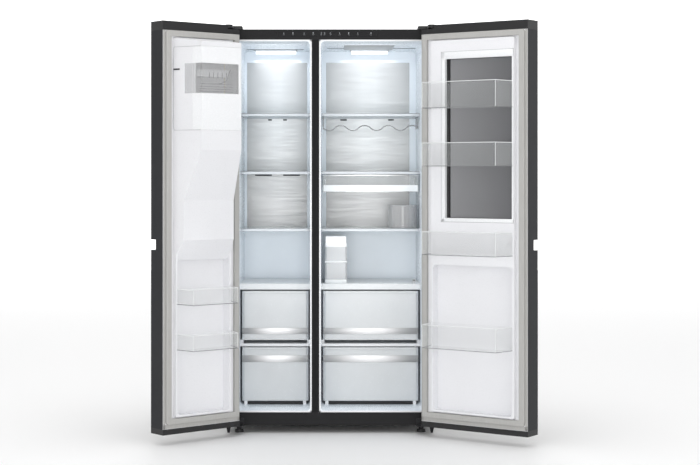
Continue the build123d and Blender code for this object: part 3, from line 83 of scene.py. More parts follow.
def pick(piece):
    clear()
    piece.select_set(True)
    bpy.context.view_layer.objects.active = piece


def settle(piece, name):
    """Put a piece's place into its mesh and name it."""
    pick(piece)
    bpy.ops.object.transform_apply(location=True, rotation=True, scale=True)
    piece.name = piece.data.name = name
    return piece


def apply_modifier(piece, kind, **settings):
    pick(piece)
    modifier = piece.modifiers.new(kind.lower(), kind)
    for key, value in settings.items():
        setattr(modifier, key, value)
    bpy.ops.object.modifier_apply(modifier=modifier.name)


def round_edges(piece, width, segments=2, angle=30.0):
    apply_modifier(
        piece, "BEVEL", width=width, segments=segments,
        limit_method="ANGLE", angle_limit=radians(angle),
    )


def bar(name, low, high, edge=0.0005, segments=2):
    """A straight bar between two corners, with rounded edges."""
    clear()
    low, high = Vector(low), Vector(high)
    bpy.ops.mesh.primitive_cube_add(size=1.0, location=(low + high) / 2)
    piece = bpy.context.object
    piece.scale = high - low
    settle(piece, name)
    round_edges(piece, edge, segments)
    return piece


def turned(name, base, axis, steps, sides=32):
    """A round piece that stands on base along axis, from pairs of height and radius."""
    clear()
    bpy.ops.mesh.primitive_circle_add(
        vertices=sides, radius=steps[0][1], fill_type="NGON", location=(0, 0, 0)
    )
    piece = bpy.context.object
    bpy.ops.object.mode_set(mode="EDIT")
    bpy.ops.mesh.select_all(action="SELECT")
    height, radius = steps[0]
    for next_height, next_radius in steps[1:]:
        rise = next_height - height
        bpy.ops.mesh.extrude_region_move(TRANSFORM_OT_translate={"value": (0, 0, rise)})
        grow = next_radius / radius
        bpy.ops.transform.resize(
            value=(grow, grow, 1.0), center_override=(0, 0, next_height - steps[0][0])
        )
        height, radius = next_height, next_radius
    bpy.ops.mesh.select_all(action="SELECT")
    bpy.ops.mesh.normals_make_consistent(inside=False)
    bpy.ops.object.mode_set(mode="OBJECT")
    lift = Vector(axis).normalized() * steps[0][0]
    turn = Vector((0, 0, 1)).rotation_difference(Vector(axis)).to_matrix().to_4x4()
    piece.matrix_world = Matrix.Translation(Vector(base) + lift) @ turn
    return settle(piece, name)


def wire(name, points, radius, cyclic=False, smooth=True):
    """A round wire along points."""
    clear()
    curve = bpy.data.curves.new(name, "CURVE")
    curve.dimensions = "3D"
    curve.bevel_depth = radius
    curve.bevel_resolution = 2
    curve.resolution_u = 6
    curve.use_fill_caps = True
    spline = curve.splines.new("NURBS" if smooth else "POLY")
    spline.points.add(len(points) - 1)
    for point, place in zip(spline.points, points):
        point.co = (*place, 1.0)
    if smooth:
        spline.order_u = 3
        spline.use_endpoint_u = not cyclic
    spline.use_cyclic_u = cyclic
    piece = bpy.data.objects.new(name, curve)
    bpy.context.scene.collection.objects.link(piece)
    pick(piece)
    bpy.ops.object.convert(target="MESH")
    return settle(bpy.context.object, name)


def joined(name, group):
    pick(group[0])
    for piece in group:
        piece.select_set(True)
    bpy.ops.object.join()
    return settle(bpy.context.object, name)


def on_door(side, along, out, z):
    """A point of the closed door: along from its hinge edge, out from its rim."""
    return Vector((side * (HALF_WIDTH - along), DOOR_RIM + out, z))


def door_bar(name, side, along, out, heights, edge=0.0005, segments=2):
    a = on_door(side, along[0], out[0], heights[0])
    b = on_door(side, along[1], out[1], heights[1])
    low = [min(p, q) for p, q in zip(a, b)]
    high = [max(p, q) for p, q in zip(a, b)]
    return bar(name, low, high, edge, segments)


def door_bars(name, side, out, edge, segments, spans):
    """One piece of bars on a door, from each bar's limits along and up it."""
    return joined(name, [
        door_bar("bar", side, (a, b), out, (low, high), edge, segments) for a, b, low, high in spans
    ])


def swung(piece, side):
    """Open a piece that was modelled on the closed door."""
    pin = Matrix.Translation(hinge_pin(side))
    piece.matrix_world = pin @ Matrix.Rotation(SWING[side], 4, "Z") @ pin.inverted()
    return settle(piece, piece.name)


def fit_out(piece, material, body):
    """Give a new piece its finish and let it ride on its body."""
    pick(piece)
    bpy.ops.object.shade_smooth_by_angle(angle=radians(SMOOTH_ANGLE))
    piece.data.materials.clear()
    piece.data.materials.append(material)
    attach(piece, body)


def fit_door(piece, side, material, body=None):
    """Swing a piece that was modelled on the closed door and fit it out."""
    fit_out(swung(piece, side), material, body or DOOR_BODY[side])


def coat_nodes(material, *names):
    """Give CAD nodes a finish."""
    for name in names:
        node = frame["nodes"][name]
        node.data.materials.clear()
        node.data.materials.append(material)


# ------------------------------------------------------------------ finishes

def start_finish(name, colour, roughness, metallic=0.0):
    material = bpy.data.materials.new(name)
    material.use_nodes = True
    tree = material.node_tree
    shader = tree.nodes["Principled BSDF"]
    shader.inputs["Base Color"].default_value = (*colour, 1.0)
    shader.inputs["Roughness"].default_value = roughness
    shader.inputs["Metallic"].default_value = metallic
    return material, tree, shader


def pattern(tree, scale, stretch=(1.0, 1.0, 1.0), detail=3.0):
    """A noise on the piece's own coordinates, from about 0.3 to 0.7."""
    place = tree.nodes.new("ShaderNodeTexCoord")
    scaled = tree.nodes.new("ShaderNodeMapping")
    scaled.inputs["Scale"].default_value = stretch
    noise = tree.nodes.new("ShaderNodeTexNoise")
    noise.inputs["Scale"].default_value = scale
    noise.inputs["Detail"].default_value = detail
    tree.links.new(place.outputs["Object"], scaled.inputs["Vector"])
    tree.links.new(scaled.outputs["Vector"], noise.inputs["Vector"])
    return noise.outputs["Fac"]


def remap(tree, value, low, high, start=0.3, end=0.7):
    node = tree.nodes.new("ShaderNodeMapRange")
    for key, number in zip(("From Min", "From Max", "To Min", "To Max"), (start, end, low, high)):
        node.inputs[key].default_value = number
    tree.links.new(value, node.inputs["Value"])
    return node.outputs["Result"]


def blend_colours(tree, value, dark, light):
    node = tree.nodes.new("ShaderNodeMix")
    node.data_type = "RGBA"
    node.inputs["A"].default_value = (*dark, 1.0)
    node.inputs["B"].default_value = (*light, 1.0)
    tree.links.new(value, node.inputs["Factor"])
    return node.outputs["Result"]


def shaded(colour, part):
    return tuple(min(1.0, channel * part) for channel in colour)


def coordinates(tree):
    """The piece's own coordinates, split into X, Y and Z."""
    place = tree.nodes.new("ShaderNodeTexCoord")
    split = tree.nodes.new("ShaderNodeSeparateXYZ")
    tree.links.new(place.outputs["Object"], split.inputs["Vector"])
    return split.outputs


def worked_out(tree, operation, first, second=None):
    """One sum on a value, with a second value or a number."""
    node = tree.nodes.new("ShaderNodeMath")
    node.operation = operation
    tree.links.new(first, node.inputs[0])
    if isinstance(second, float):
        node.inputs[1].default_value = second
    elif second is not None:
        tree.links.new(second, node.inputs[1])
    return node.outputs["Value"]


def tint(tree, shader, value, colour, dark, light):
    """Let the colour wander between a darker and a lighter shade of itself."""
    mixed = blend_colours(tree, value, shaded(colour, dark), shaded(colour, light))
    tree.links.new(mixed, shader.inputs["Base Color"])


def vary_roughness(tree, shader, value, low, high):
    tree.links.new(remap(tree, value, low, high), shader.inputs["Roughness"])


def add_bump(tree, shader, height, strength, distance=0.0004):
    node = tree.nodes.new("ShaderNodeBump")
    node.inputs["Strength"].default_value = strength
    node.inputs["Distance"].default_value = distance
    tree.links.new(height, node.inputs["Height"])
    tree.links.new(node.outputs["Normal"], shader.inputs["Normal"])


def painted_steel(name, colour, roughness=0.42):
    """Matte charcoal sheet steel with a fine, slightly pearly grain."""
    material, tree, shader = start_finish(name, colour, roughness)
    shader.inputs["Specular IOR Level"].default_value = 0.16
    tint(tree, shader, pattern(tree, 3.0), colour, 0.88, 1.14)
    grain = pattern(tree, 900.0, (1.0, 1.0, 0.12))
    vary_roughness(tree, shader, grain, roughness - 0.07, roughness + 0.09)
    add_bump(tree, shader, grain, 0.10, 0.0002)
    return material


def moulded_plastic(name, colour, roughness, grain=700.0, depth=0.12):
    """Opaque moulded plastic: faint shade changes and a fine texture."""
    material, tree, shader = start_finish(name, colour, roughness)
    tint(tree, shader, pattern(tree, 5.0), colour, 0.95, 1.03)
    texture = pattern(tree, grain)
    vary_roughness(tree, shader, texture, roughness - 0.05, roughness + 0.07)
    add_bump(tree, shader, texture, depth, 0.0002)
    return material


def clear_plastic(name, colour, roughness, face, edge, milk=40.0):
    """See-through plastic: thin on its faces, and brighter where it is seen edge on."""
    material, tree, shader = start_finish(name, colour, roughness)
    shader.inputs["IOR"].default_value = 1.5
    weight = tree.nodes.new("ShaderNodeLayerWeight")
    weight.inputs["Blend"].default_value = 0.35
    rim = remap(tree, weight.outputs["Facing"], face, edge, 0.0, 0.9)
    mist = remap(tree, pattern(tree, milk), 0.985, 1.015)
    alpha = worked_out(tree, "MULTIPLY", rim, mist)
    alpha.node.use_clamp = True
    tree.links.new(alpha, shader.inputs["Alpha"])
    ripple = pattern(tree, 120.0)
    vary_roughness(tree, shader, ripple, roughness * 0.8, roughness * 1.3)
    add_bump(tree, shader, ripple, 0.03, 0.0002)
    return material


def brushed_metal(name, colour, roughness, stretch, cloud=2.5, spread=0.10):
    """Metal with fine parallel brush lines; stretch is small along the lines."""
    material, tree, shader = start_finish(name, colour, roughness, 1.0)
    lines = pattern(tree, 520.0, stretch, 6.0)
    sheen = pattern(tree, cloud)
    both = worked_out(tree, "ADD", remap(tree, lines, -0.25, 0.25), remap(tree, sheen, 0.25, 0.75))
    tint(tree, shader, both, colour, 1 - spread, 1 + spread)
    vary_roughness(tree, shader, lines, roughness - 0.07, roughness + 0.10)
    add_bump(tree, shader, lines, 0.10, 0.0001)
    return material


def glowing(name, colour, strength):
    """A lit lamp lens with faint prism lines."""
    material, tree, shader = start_finish(name, colour, 0.3)
    shader.inputs["Emission Color"].default_value = (*colour, 1.0)
    shader.inputs["Emission Strength"].default_value = strength
    tint(tree, shader, pattern(tree, 300.0, (1.0, 0.05, 1.0)), colour, 0.9, 1.0)
    return material


def plates_with_painted_light(name, colour):
    """The plates at the back: fine level brush lines, with a painted highlight in the middle of
    each room and painted shade towards the bottom.
    """
    material, tree, shader = start_finish(name, colour, 0.46, 0.3)
    place = coordinates(tree)
    rooms = ((-0.393, -0.243, -0.243, -0.100), (-0.030, 0.170, 0.190, 0.385))
    # Painted highlight: the colour is brightest in the middle of each room.
    highlight_peaks = []
    for left, peak_left, peak_right, right in rooms:
        rise = remap(tree, place["X"], 0.0, 1.0, left, peak_left)
        fall = remap(tree, place["X"], 1.0, 0.0, peak_right, right)
        highlight_peaks.append(worked_out(tree, "MULTIPLY", rise, fall))
    both = remap(tree, worked_out(tree, "ADD", *highlight_peaks), 0.0, 1.0, 0.0, 0.9)
    across = blend_colours(tree, both, shaded(colour, 0.74), shaded(colour, 1.2))
    # Painted shade: the colour darkens towards the bottom.
    height = remap(tree, place["Z"], 0.0, 1.0, 0.95, 1.35)
    painted_shade_below = blend_colours(tree, height, (0.80, 0.78, 0.77), (1.0, 1.0, 1.0))
    low = tree.nodes.new("ShaderNodeMix")
    low.data_type = "RGBA"
    low.blend_type = "MULTIPLY"
    low.inputs["Factor"].default_value = 1.0
    tree.links.new(across, low.inputs["A"])
    tree.links.new(painted_shade_below, low.inputs["B"])
    tree.links.new(low.outputs["Result"], shader.inputs["Base Color"])
    lines = pattern(tree, 520.0, (0.02, 1.0, 1.0), 6.0)
    vary_roughness(tree, shader, lines, 0.30, 0.48)
    add_bump(tree, shader, lines, 0.12, 0.0001)
    return material


def soft_rubber(name, colour):
    """Magnetic gasket rubber: matte, with fine lines along each side."""
    material, tree, shader = start_finish(name, colour, 0.6)
    lines = pattern(tree, 260.0, (1.0, 1.0, 0.03))
    tint(tree, shader, lines, colour, 0.86, 1.06)
    add_bump(tree, shader, lines, 0.2, 0.0003)
    return material


def rigid_foam(name, colour):
    material, tree, shader = start_finish(name, colour, 0.95)
    cells = pattern(tree, 220.0, detail=6.0)
    tint(tree, shader, cells, colour, 0.7, 1.1)
    add_bump(tree, shader, cells, 0.8, 0.002)
    return material


def satin_metal_painted_highlight(name, dark, light, middle, reach):
    """Satin metal with a painted highlight: brightest in the middle of its length."""
    material, tree, shader = start_finish(name, light, 0.42, 0.5)
    # Painted highlight: lighter towards the middle, darker towards both ends.
    away = worked_out(tree, "SUBTRACT", coordinates(tree)["X"], middle)
    glow = remap(tree, worked_out(tree, "ABSOLUTE", away), 1.0, 0.0, 0.0, reach)
    glow.node.interpolation_type = "SMOOTHSTEP"
    tree.links.new(blend_colours(tree, glow, dark, light), shader.inputs["Base Color"])
    lines = pattern(tree, 600.0, (0.03, 1.0, 1.0), 5.0)
    vary_roughness(tree, shader, lines, 0.34, 0.5)
    add_bump(tree, shader, lines, 0.06, 0.0001)
    return material


def dark_glass_painted_reflection(name):
    """Grey tinted glass with a painted reflection: a little lighter towards its inner edge."""
    material, tree, shader = start_finish(name, (0.2, 0.2, 0.205), 0.07)
    # Painted reflection: the colour fades from lighter to darker across the glass.
    across = remap(tree, coordinates(tree)["X"], 0.0, 1.0, 0.52, 0.79)
    shade = blend_colours(tree, across, (0.225, 0.227, 0.235), (0.105, 0.106, 0.112))
    tree.links.new(shade, shader.inputs["Base Color"])
    vary_roughness(tree, shader, pattern(tree, 14.0), 0.05, 0.10)
    return material


# ------------------------------------------------------------------ sizes and colours

def length(label, about, default, low, high):
    return FloatProperty(
        name=label, description=about, default=default, min=low, max=high,
        subtype="DISTANCE", unit="LENGTH",
    )


def hue(label, about, default):
    return FloatVectorProperty(
        name=label, description=about, default=default, min=0.0, max=1.0, subtype="COLOR",
    )


class FridgeSizes(PropertyGroup):
    band_proud: length(
        "Drawer Band Thickness", "How far a drawer's metal band stands out", 0.0015, 0.0005, 0.003,
    )
    upper_band_height: length(
        "Upper Drawer Band Height", "Height of the upper drawers' bands", 0.027, 0.01, 0.05,
    )
    lower_band_height: length(
        "Lower Drawer Band Height", "Height of the lower drawers' bands", 0.030, 0.01, 0.05,
    )
    gasket_bead: length(
        "Gasket Bead Radius", "Radius of the beads along the gaskets", 0.0022, 0.001, 0.004,
    )
    screw_radius: length(
        "Screw Head Radius", "Radius of the cover screws' heads", 0.0045, 0.002, 0.008,
    )
    fin_count: IntProperty(
        name="Vent Fins", description="Fins in each air outlet", default=9, min=3, max=20,
    )


class FridgeColours(PropertyGroup):
    body: hue("Steel", "Colour of the doors' steel", (0.022, 0.023, 0.026))
    liner: hue("Liner", "Colour of the inside walls", (0.85, 0.905, 0.965))
    bin: hue("Clear Plastic", "Colour of the clear utility box", (0.83, 0.87, 0.885))
    metal: hue("Brushed Panels", "Colour of the brushed plates at the back", (0.50, 0.515, 0.525))
    light: hue("Lamp Light", "Colour of the lamps inside", (0.93, 0.975, 1.0))


FINISHES = {}


def finish_set(context):
    """All finishes, made once."""
    if FINISHES:
        return FINISHES
    chosen = context.scene.fridge_colours
    liner = tuple(chosen.liner)
    even, level = (1.0, 1.0, 1.0), (0.02, 1.0, 1.0)
    FINISHES.update({
        "body": painted_steel("charcoal_steel", tuple(chosen.body)),
        "frame": painted_steel("graphite_frame", (0.013, 0.013, 0.014), 0.5),
        "strip": painted_steel("mullion_strip_grey", (0.007, 0.007, 0.008), 0.55),
        "caps": moulded_plastic("charcoal_cap_plastic", (0.012, 0.012, 0.013), 0.45),
        "black": moulded_plastic("black_plastic", (0.012, 0.012, 0.013), 0.5, depth=0.2),
        "gloss_black": moulded_plastic("gloss_black", (0.004, 0.004, 0.005), 0.09, depth=0.01),
        "zinc": brushed_metal("zinc_plate", (0.55, 0.56, 0.57), 0.42, (1.0, 1.0, 0.2), 30.0, 0.2),
        "liner": moulded_plastic("white_liner", liner, 0.28, 260.0, 0.035),
        "door_liner": moulded_plastic("white_door_liner", (0.79, 0.793, 0.815), 0.3, 260.0, 0.035),
        "lip": moulded_plastic("bright_white_lip", (0.84, 0.85, 0.865), 0.25, 260.0, 0.02),
        "duct": moulded_plastic("white_duct_cover", shaded(liner, 1.02), 0.4, 500.0, 0.06),
        "tray_white": moulded_plastic("white_fittings", (0.74, 0.755, 0.775), 0.3, depth=0.05),
        "pale_grey": moulded_plastic("pale_grey_plastic", (0.42, 0.43, 0.44), 0.4),
        "plates": plates_with_painted_light("brushed_plate_painted_light", tuple(chosen.metal)),
        "shelf_frame": clear_plastic("shelf_frame", (0.66, 0.70, 0.74), 0.2, 0.50, 0.80, 6.0),
        "trim": brushed_metal("bright_trim", (0.60, 0.605, 0.61), 0.26, level, 5.0, 0.08),
        "chrome": brushed_metal("chrome_wire", (0.17, 0.175, 0.18), 0.16, even, 9.0, 0.03),
        "coil": brushed_metal("coil_aluminium", (0.77, 0.78, 0.79), 0.35, even, 9.0, 0.08),
        "pump": moulded_plastic("black_enamel", (0.010, 0.010, 0.011), 0.24, 90.0, 0.10),
        "pivot": painted_steel("dark_hinge_steel", (0.02, 0.02, 0.022), 0.38),
        "clear": clear_plastic("clear_plastic", tuple(chosen.bin), 0.09, 0.10, 0.62),
        "basket": clear_plastic("clear_basket_plastic", (0.82, 0.85, 0.85), 0.08, 0.018, 0.24),
        "tank": clear_plastic("tank_plastic", (0.74, 0.76, 0.78), 0.15, 0.34, 0.72, 12.0),
        # The basket rims carry a painted highlight and the base lines a painted shade.
        "basket_rims": clear_plastic("basket_rim", (0.93, 0.94, 0.945), 0.12, 0.70, 0.95),
        "basket_bases": clear_plastic("basket_base_painted_shade", (0.24, 0.245, 0.25), 0.2, 0.72, 0.9),
        "bin_apron": clear_plastic("bin_apron", (0.50, 0.505, 0.51), 0.12, 0.28, 0.75, 9.0),
        "frosted": clear_plastic("frosted_plastic", (0.86, 0.89, 0.905), 0.33, 0.80, 0.96, 25.0),
        "drawer": clear_plastic("frosted_drawer", (0.845, 0.875, 0.893), 0.22, 0.62, 0.94, 18.0),
        "glass": clear_plastic("shelf_glass", (0.62, 0.72, 0.70), 0.03, 0.16, 0.85, 8.0),
        "smoke": clear_plastic("smoked_window", (0.66, 0.665, 0.675), 0.10, 0.26, 0.55),
        "lamp": glowing("lamp_lens", tuple(chosen.light), 1.0),
        "gasket": soft_rubber("gasket_rubber", (0.44, 0.435, 0.42)),
        "foam": rigid_foam("rigid_foam", (0.80, 0.72, 0.45)),
        "dark_glass": dark_glass_painted_reflection("dark_glass"),
        "icons": glowing("icon_white", (0.42, 0.44, 0.46), 0.12),
        # Dark plastic for real dark parts, also used for painted shadow strips and wells.
        "dark_and_painted_shadow": moulded_plastic("dark_plastic_and_painted_shadow", (0.02, 0.021, 0.023), 0.7),
    })
    return FINISHES


# ------------------------------------------------------------------ finishing the CAD nodes

class FRIDGE_OT_finish_cabinet(Operator):
    """Finish the outer cabinet, its liners and everything fixed inside"""
    bl_idname = "fridge.finish_cabinet"
    bl_label = "Finish Cabinet"

    def execute(self, context):
        look = finish_set(context)
        coat_nodes(look["frame"], "outer_cabinet", "base_pan")
        coat_nodes(look["strip"], "mullion_strip")
        coat_nodes(look["zinc"], "cabinet_back", "machine_tray")
        coat_nodes(look["foam"], "cabinet_foam")
        coat_nodes(look["liner"], "freezer_liner", "fridge_liner")
        coat_nodes(look["duct"], "freezer_back_panel", "fridge_back_panel")
        coat_nodes(look["plates"], "metal_panels")
        coat_nodes(look["lamp"], "ceiling_lamps")
        coat_nodes(look["glass"], "shelf_glass")
        coat_nodes(look["shelf_frame"], "shelf_trims")
        coat_nodes(look["frosted"], "drawer_covers")
        coat_nodes(look["tray_white"], "drawer_rails")
        coat_nodes(look["chrome"], "bottle_rack")
        coat_nodes(look["bin_apron"], "clear_bin")
        coat_nodes(look["gloss_black"], "control_panel")
        coat_nodes(look["caps"], "hinge_covers")
        coat_nodes(look["pivot"], "top_hinges", "bottom_hinges")
        return {"FINISHED"}


class FRIDGE_OT_finish_moving(Operator):
    """Finish the drawers, the box, the tank and the slider"""
    bl_idname = "fridge.finish_moving"
    bl_label = "Finish Drawers and Bins"

    def execute(self, context):
        look = finish_set(context)
        coat_nodes(
            look["drawer"], "freezer_upper_drawer", "freezer_lower_drawer",
            "fridge_upper_drawer", "fridge_lower_drawer",
        )
        coat_nodes(look["clear"], "utility_box")
        coat_nodes(look["tank"], "water_tank")
        coat_nodes(look["tray_white"], "tank_lid")
        coat_nodes(look["pale_grey"], "humidity_slider")
        return {"FINISHED"}


class FRIDGE_OT_finish_doors(Operator):
    """Finish both doors, the ice room and the dispenser"""
    bl_idname = "fridge.finish_doors"
    bl_label = "Finish Doors"

    def execute(self, context):
        look = finish_set(context)
        coat_nodes(look["body"], "left_door_skin", "right_door_skin")
        coat_nodes(look["caps"], "left_door_caps", "right_door_caps")
        coat_nodes(look["foam"], "left_door_foam", "right_door_foam")
        coat_nodes(look["gasket"], "left_door_gasket", "right_door_gasket")
        coat_nodes(look["door_liner"], "left_door_liner", "right_door_liner")
        coat_nodes(look["lip"], "ice_room_cover", "window_frame")
        coat_nodes(look["basket"], "left_door_baskets", "right_door_baskets")
        coat_nodes(look["dark_glass"], "window_glass")
        coat_nodes(look["smoke"], "ice_bin")
        coat_nodes(look["tray_white"], "ice_tray")
        coat_nodes(look["gloss_black"], "dispenser_housing", "drip_tray")
        coat_nodes(look["black"], "dispenser_paddle")
        return {"FINISHED"}


class FRIDGE_OT_finish_machine(Operator):
    """Finish the machine compartment, the feet and the rollers"""
    bl_idname = "fridge.finish_machine"
    bl_label = "Finish Machinery"

    def execute(self, context):
        look = finish_set(context)
        coat_nodes(look["pump"], "compressor", "condenser")
        coat_nodes(look["black"], "condenser_fan", "machine_cover", "cord_gland", "rear_rollers")
        coat_nodes(look["black"], "front_foot_left", "front_foot_right")
        coat_nodes(look["tray_white"], "evaporator_fan")
        coat_nodes(look["coil"], "evaporator")
        return {"FINISHED"}


# ------------------------------------------------------------------ added pieces

SHELF_TOPS = (1.394, 1.137, 0.884)
FREEZER_RIGHT, FRIDGE_LEFT = -0.0885, -0.0395

# Each drawer's body: its node, the bottom of its band and the setting of the band's height.
DRAWERS = {
    "freezer_upper": ("freezer_upper_drawer", 0.417, "upper_band_height"),
    "freezer_lower": ("freezer_lower_drawer", 0.293, "lower_band_height"),
    "fridge_upper": ("fridge_upper_drawer", 0.417, "upper_band_height"),
    "fridge_lower": ("fridge_lower_drawer", 0.293, "lower_band_height"),
}


class FRIDGE_OT_drawer_bands(Operator):
    """Metal bands across the drawers' fronts, each with a painted highlight in its middle, and a
    thin frame line round each front
    """
    bl_idname = "fridge.drawer_bands"
    bl_label = "Drawer Bands"

    def execute(self, context):
        look, size = finish_set(context), context.scene.fridge_sizes
        for body, (node, bottom, height) in DRAWERS.items():
            low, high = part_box(node)
            middle, reach = (low.x + high.x) / 2, (high.x - low.x) / 2
            top = bottom + getattr(size, height)
            # The band's metal carries a painted highlight: bright in the middle, dark at the ends.
            metal = satin_metal_painted_highlight(
                body + "_band_metal_painted_highlight", (0.30, 0.305, 0.31), (0.70, 0.70, 0.71), middle, reach
            )
            band = bar(
                body + "_band",
                (low.x + 0.002, low.y - size.band_proud, bottom),
                (high.x - 0.002, low.y + 0.0002, top), 0.0006, 3,
            )
            fit_out(band, metal, body)
            inset, line = 0.010, 0.0011
            x0, x1 = low.x + inset, high.x - inset
            z0, z1 = low.z + inset, high.z - inset
            if bottom < z0:
                z0 = top + 0.004
            out, back = low.y - 0.0006, low.y + 0.0003
            sides = [
                bar("line", (x0, out, z0), (x0 + line, back, z1), 0.0002, 1),
                bar("line", (x1 - line, out, z0), (x1, back, z1), 0.0002, 1),
                bar("line", (x0, out, z1 - line), (x1, back, z1), 0.0002, 1),
            ]
            frame_line = joined(body + "_front_line", sides)
            fit_out(frame_line, look["pale_grey"], body)
        return {"FINISHED"}


class FRIDGE_OT_drawer_gap_shadows(Operator):
    """A painted shadow in the gap under each lower drawer: a dark bar"""
    bl_idname = "fridge.drawer_slots"
    bl_label = "Drawer Slots"

    def execute(self, context):
        look = finish_set(context)
        slots = []
        for body in ("freezer_lower", "fridge_lower"):
            low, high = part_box(DRAWERS[body][0])
            # Painted shadow: a dark bar in the gap below the drawer.
            slot = bar(
                "slot", (low.x + 0.016, low.y + 0.004, low.z - 0.0150),
                (high.x - 0.016, low.y + 0.008, low.z - 0.0015), 0.0010, 2,
            )
            slots.append(slot)
        fit_out(joined("drawer_slots", slots), look["dark_and_painted_shadow"], "cabinet")
        return {"FINISHED"}


class FRIDGE_OT_control_icons(Operator):
    """Small lit marks on the control strip: round keys, bars and two numbers"""
    bl_idname = "fridge.control_icons"
    bl_label = "Control Strip Marks"

    def execute(self, context):
        look = finish_set(context)
        low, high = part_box("control_panel")
        face, centre = low.y, (low.z + high.z) / 2
        marks = []
        for i, part in enumerate((0.07, 0.16, 0.27, 0.36, 0.62, 0.71, 0.80, 0.93)):
            x = low.x + (high.x - low.x) * part
            size = 0.0022 if i % 2 else 0.0016
            marks.append(turned(
                "key", (x, face + 0.0001, centre + 0.003), (0, -1, 0),
                [(0, size), (0.0003, size), (0.0004, size * 0.8)], 16,
            ))
            marks.append(bar(
                "label", (x - 0.0045, face - 0.0003, centre - 0.0050),
                (x + 0.0045, face + 0.0001, centre - 0.0043), 0.0001, 1,
            ))
        for digits, part in (("1101101", 0.44), ("1111001", 0.47), ("1011011", 0.53)):
            x = low.x + (high.x - low.x) * part
            marks += seven_segments(x, face, centre, digits)
        fit_out(joined("control_marks", marks), look["icons"], "cabinet")
        return {"FINISHED"}


def seven_segments(x, face, z, digits):
    """The lit strokes of one number, as bars."""
    wide, tall, stroke = 0.0022, 0.0052, 0.0008
    places = (
        ((-wide, tall), (wide, tall)), ((wide, 0), (wide, tall)), ((wide, -tall), (wide, 0)),
        ((-wide, -tall), (wide, -tall)), ((-wide, -tall), (-wide, 0)), ((-wide, 0), (-wide, tall)),
        ((-wide, 0), (wide, 0)),
    )
    strokes = []
    for lit, (a, b) in zip(digits, places):
        if lit == "1":
            half = stroke / 2
            strokes.append(bar(
                "stroke", (x + min(a[0], b[0]) - half, face - 0.0003, z + min(a[1], b[1]) - half),
                (x + max(a[0], b[0]) + half, face + 0.0001, z + max(a[1], b[1]) + half), 0.0001, 1,
            ))
    return strokes


class FRIDGE_OT_air_vent_shadows(Operator):
    """Painted shadow in the air outlets of the back panels: a dark back behind each outlet, with
    dark louvre fins across it
    """
    bl_idname = "fridge.air_vents"
    bl_label = "Air Vents"

    def execute(self, context):
        look, size = finish_set(context), context.scene.fridge_sizes
        low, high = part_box("metal_panels")
        plate_front = low.y
        outlets = (
            (-0.280, 1.3765, 0.019), (-0.210, 1.3765, 0.019), (-0.310, 1.1195, 0.079),
            (-0.180, 1.1195, 0.079), (0.062, 1.3765, 0.032), (0.283, 1.3765, 0.028),
            (0.061, 0.866, 0.023), (0.285, 0.866, 0.024),
        )
        vent_shadows = []
        for x, z, width in outlets:
            half, tall = width / 2 - 0.0004, 0.0031
            # Painted shadow: a dark bar behind each outlet stands in for the shade inside it; the
            # fins are louvres, also dark.
            vent_shadows.append(bar(
                "well", (x - half, plate_front + 0.0030, z - tall),
                (x + half, plate_front + 0.0040, z + tall), 0.0003, 1,
            ))
            for i in range(size.fin_count):
                fin = x - half + 2 * half * (i + 0.5) / size.fin_count
                vent_shadows.append(bar(
                    "fin", (fin - 0.0003, plate_front + 0.0008, z - tall),
                    (fin + 0.0003, plate_front + 0.0034, z + tall), 0.0001, 1,
                ))
        fit_out(joined("air_vents", vent_shadows), look["dark_and_painted_shadow"], "cabinet")
        return {"FINISHED"}


class FRIDGE_OT_lamp_covers(Operator):
    """A white rim and prism ribs on each ceiling lamp, the ceiling's slots and its grey inlay"""
    bl_idname = "fridge.lamp_covers"
    bl_label = "Lamp Covers"

    def execute(self, context):
        look = finish_set(context)
        low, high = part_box("ceiling_lamps")
        spans = ((low.x, -0.157), (0.098, high.x))
        bottom, top = high.z - 0.006, high.z - 0.0004
        slot_bottom, slot_top = high.z - 0.0016, high.z - 0.0003
        rims, ribs = [], []
        for left, right in spans:
            for y in (low.y - 0.005, high.y + 0.001):
                rims.append(bar(
                    "rim", (left - 0.006, y, bottom), (right + 0.006, y + 0.004, top), 0.001
                ))
            for x in (left - 0.006, right + 0.001):
                rims.append(bar(
                    "rim", (x, low.y - 0.005, bottom), (x + 0.005, high.y + 0.005, top), 0.001
                ))
            count = 14
            for i in range(count):
                x = left + (right - left) * (i + 0.5) / count
                ribs.append(bar(
                    "rib", (x - 0.0006, low.y - 0.0009, low.z + 0.005),
                    (x + 0.0006, low.y + 0.0006, high.z - 0.006), 0.0002, 1,
                ))
        fit_out(joined("lamp_rims", rims), look["lip"], "cabinet")
        fit_out(joined("lamp_ribs", ribs), look["lamp"], "cabinet")
        slots = [
            bar("slot", (-0.382, 0.356, slot_bottom), (-0.120, 0.362, slot_top), 0.0002, 1),
            bar("slot", (-0.0145, 0.290, slot_bottom), (0.388, 0.293, slot_top), 0.0002, 1),
        ]
        fit_out(joined("ceiling_slots", slots), look["dark_and_painted_shadow"], "cabinet")
        inlay = bar(
            "ceiling_inlay", (0.062, 0.120, high.z - 0.0018), (0.284, 0.370, slot_top), 0.0008
        )
        fit_out(inlay, look["pale_grey"], "cabinet")
        return {"FINISHED"}


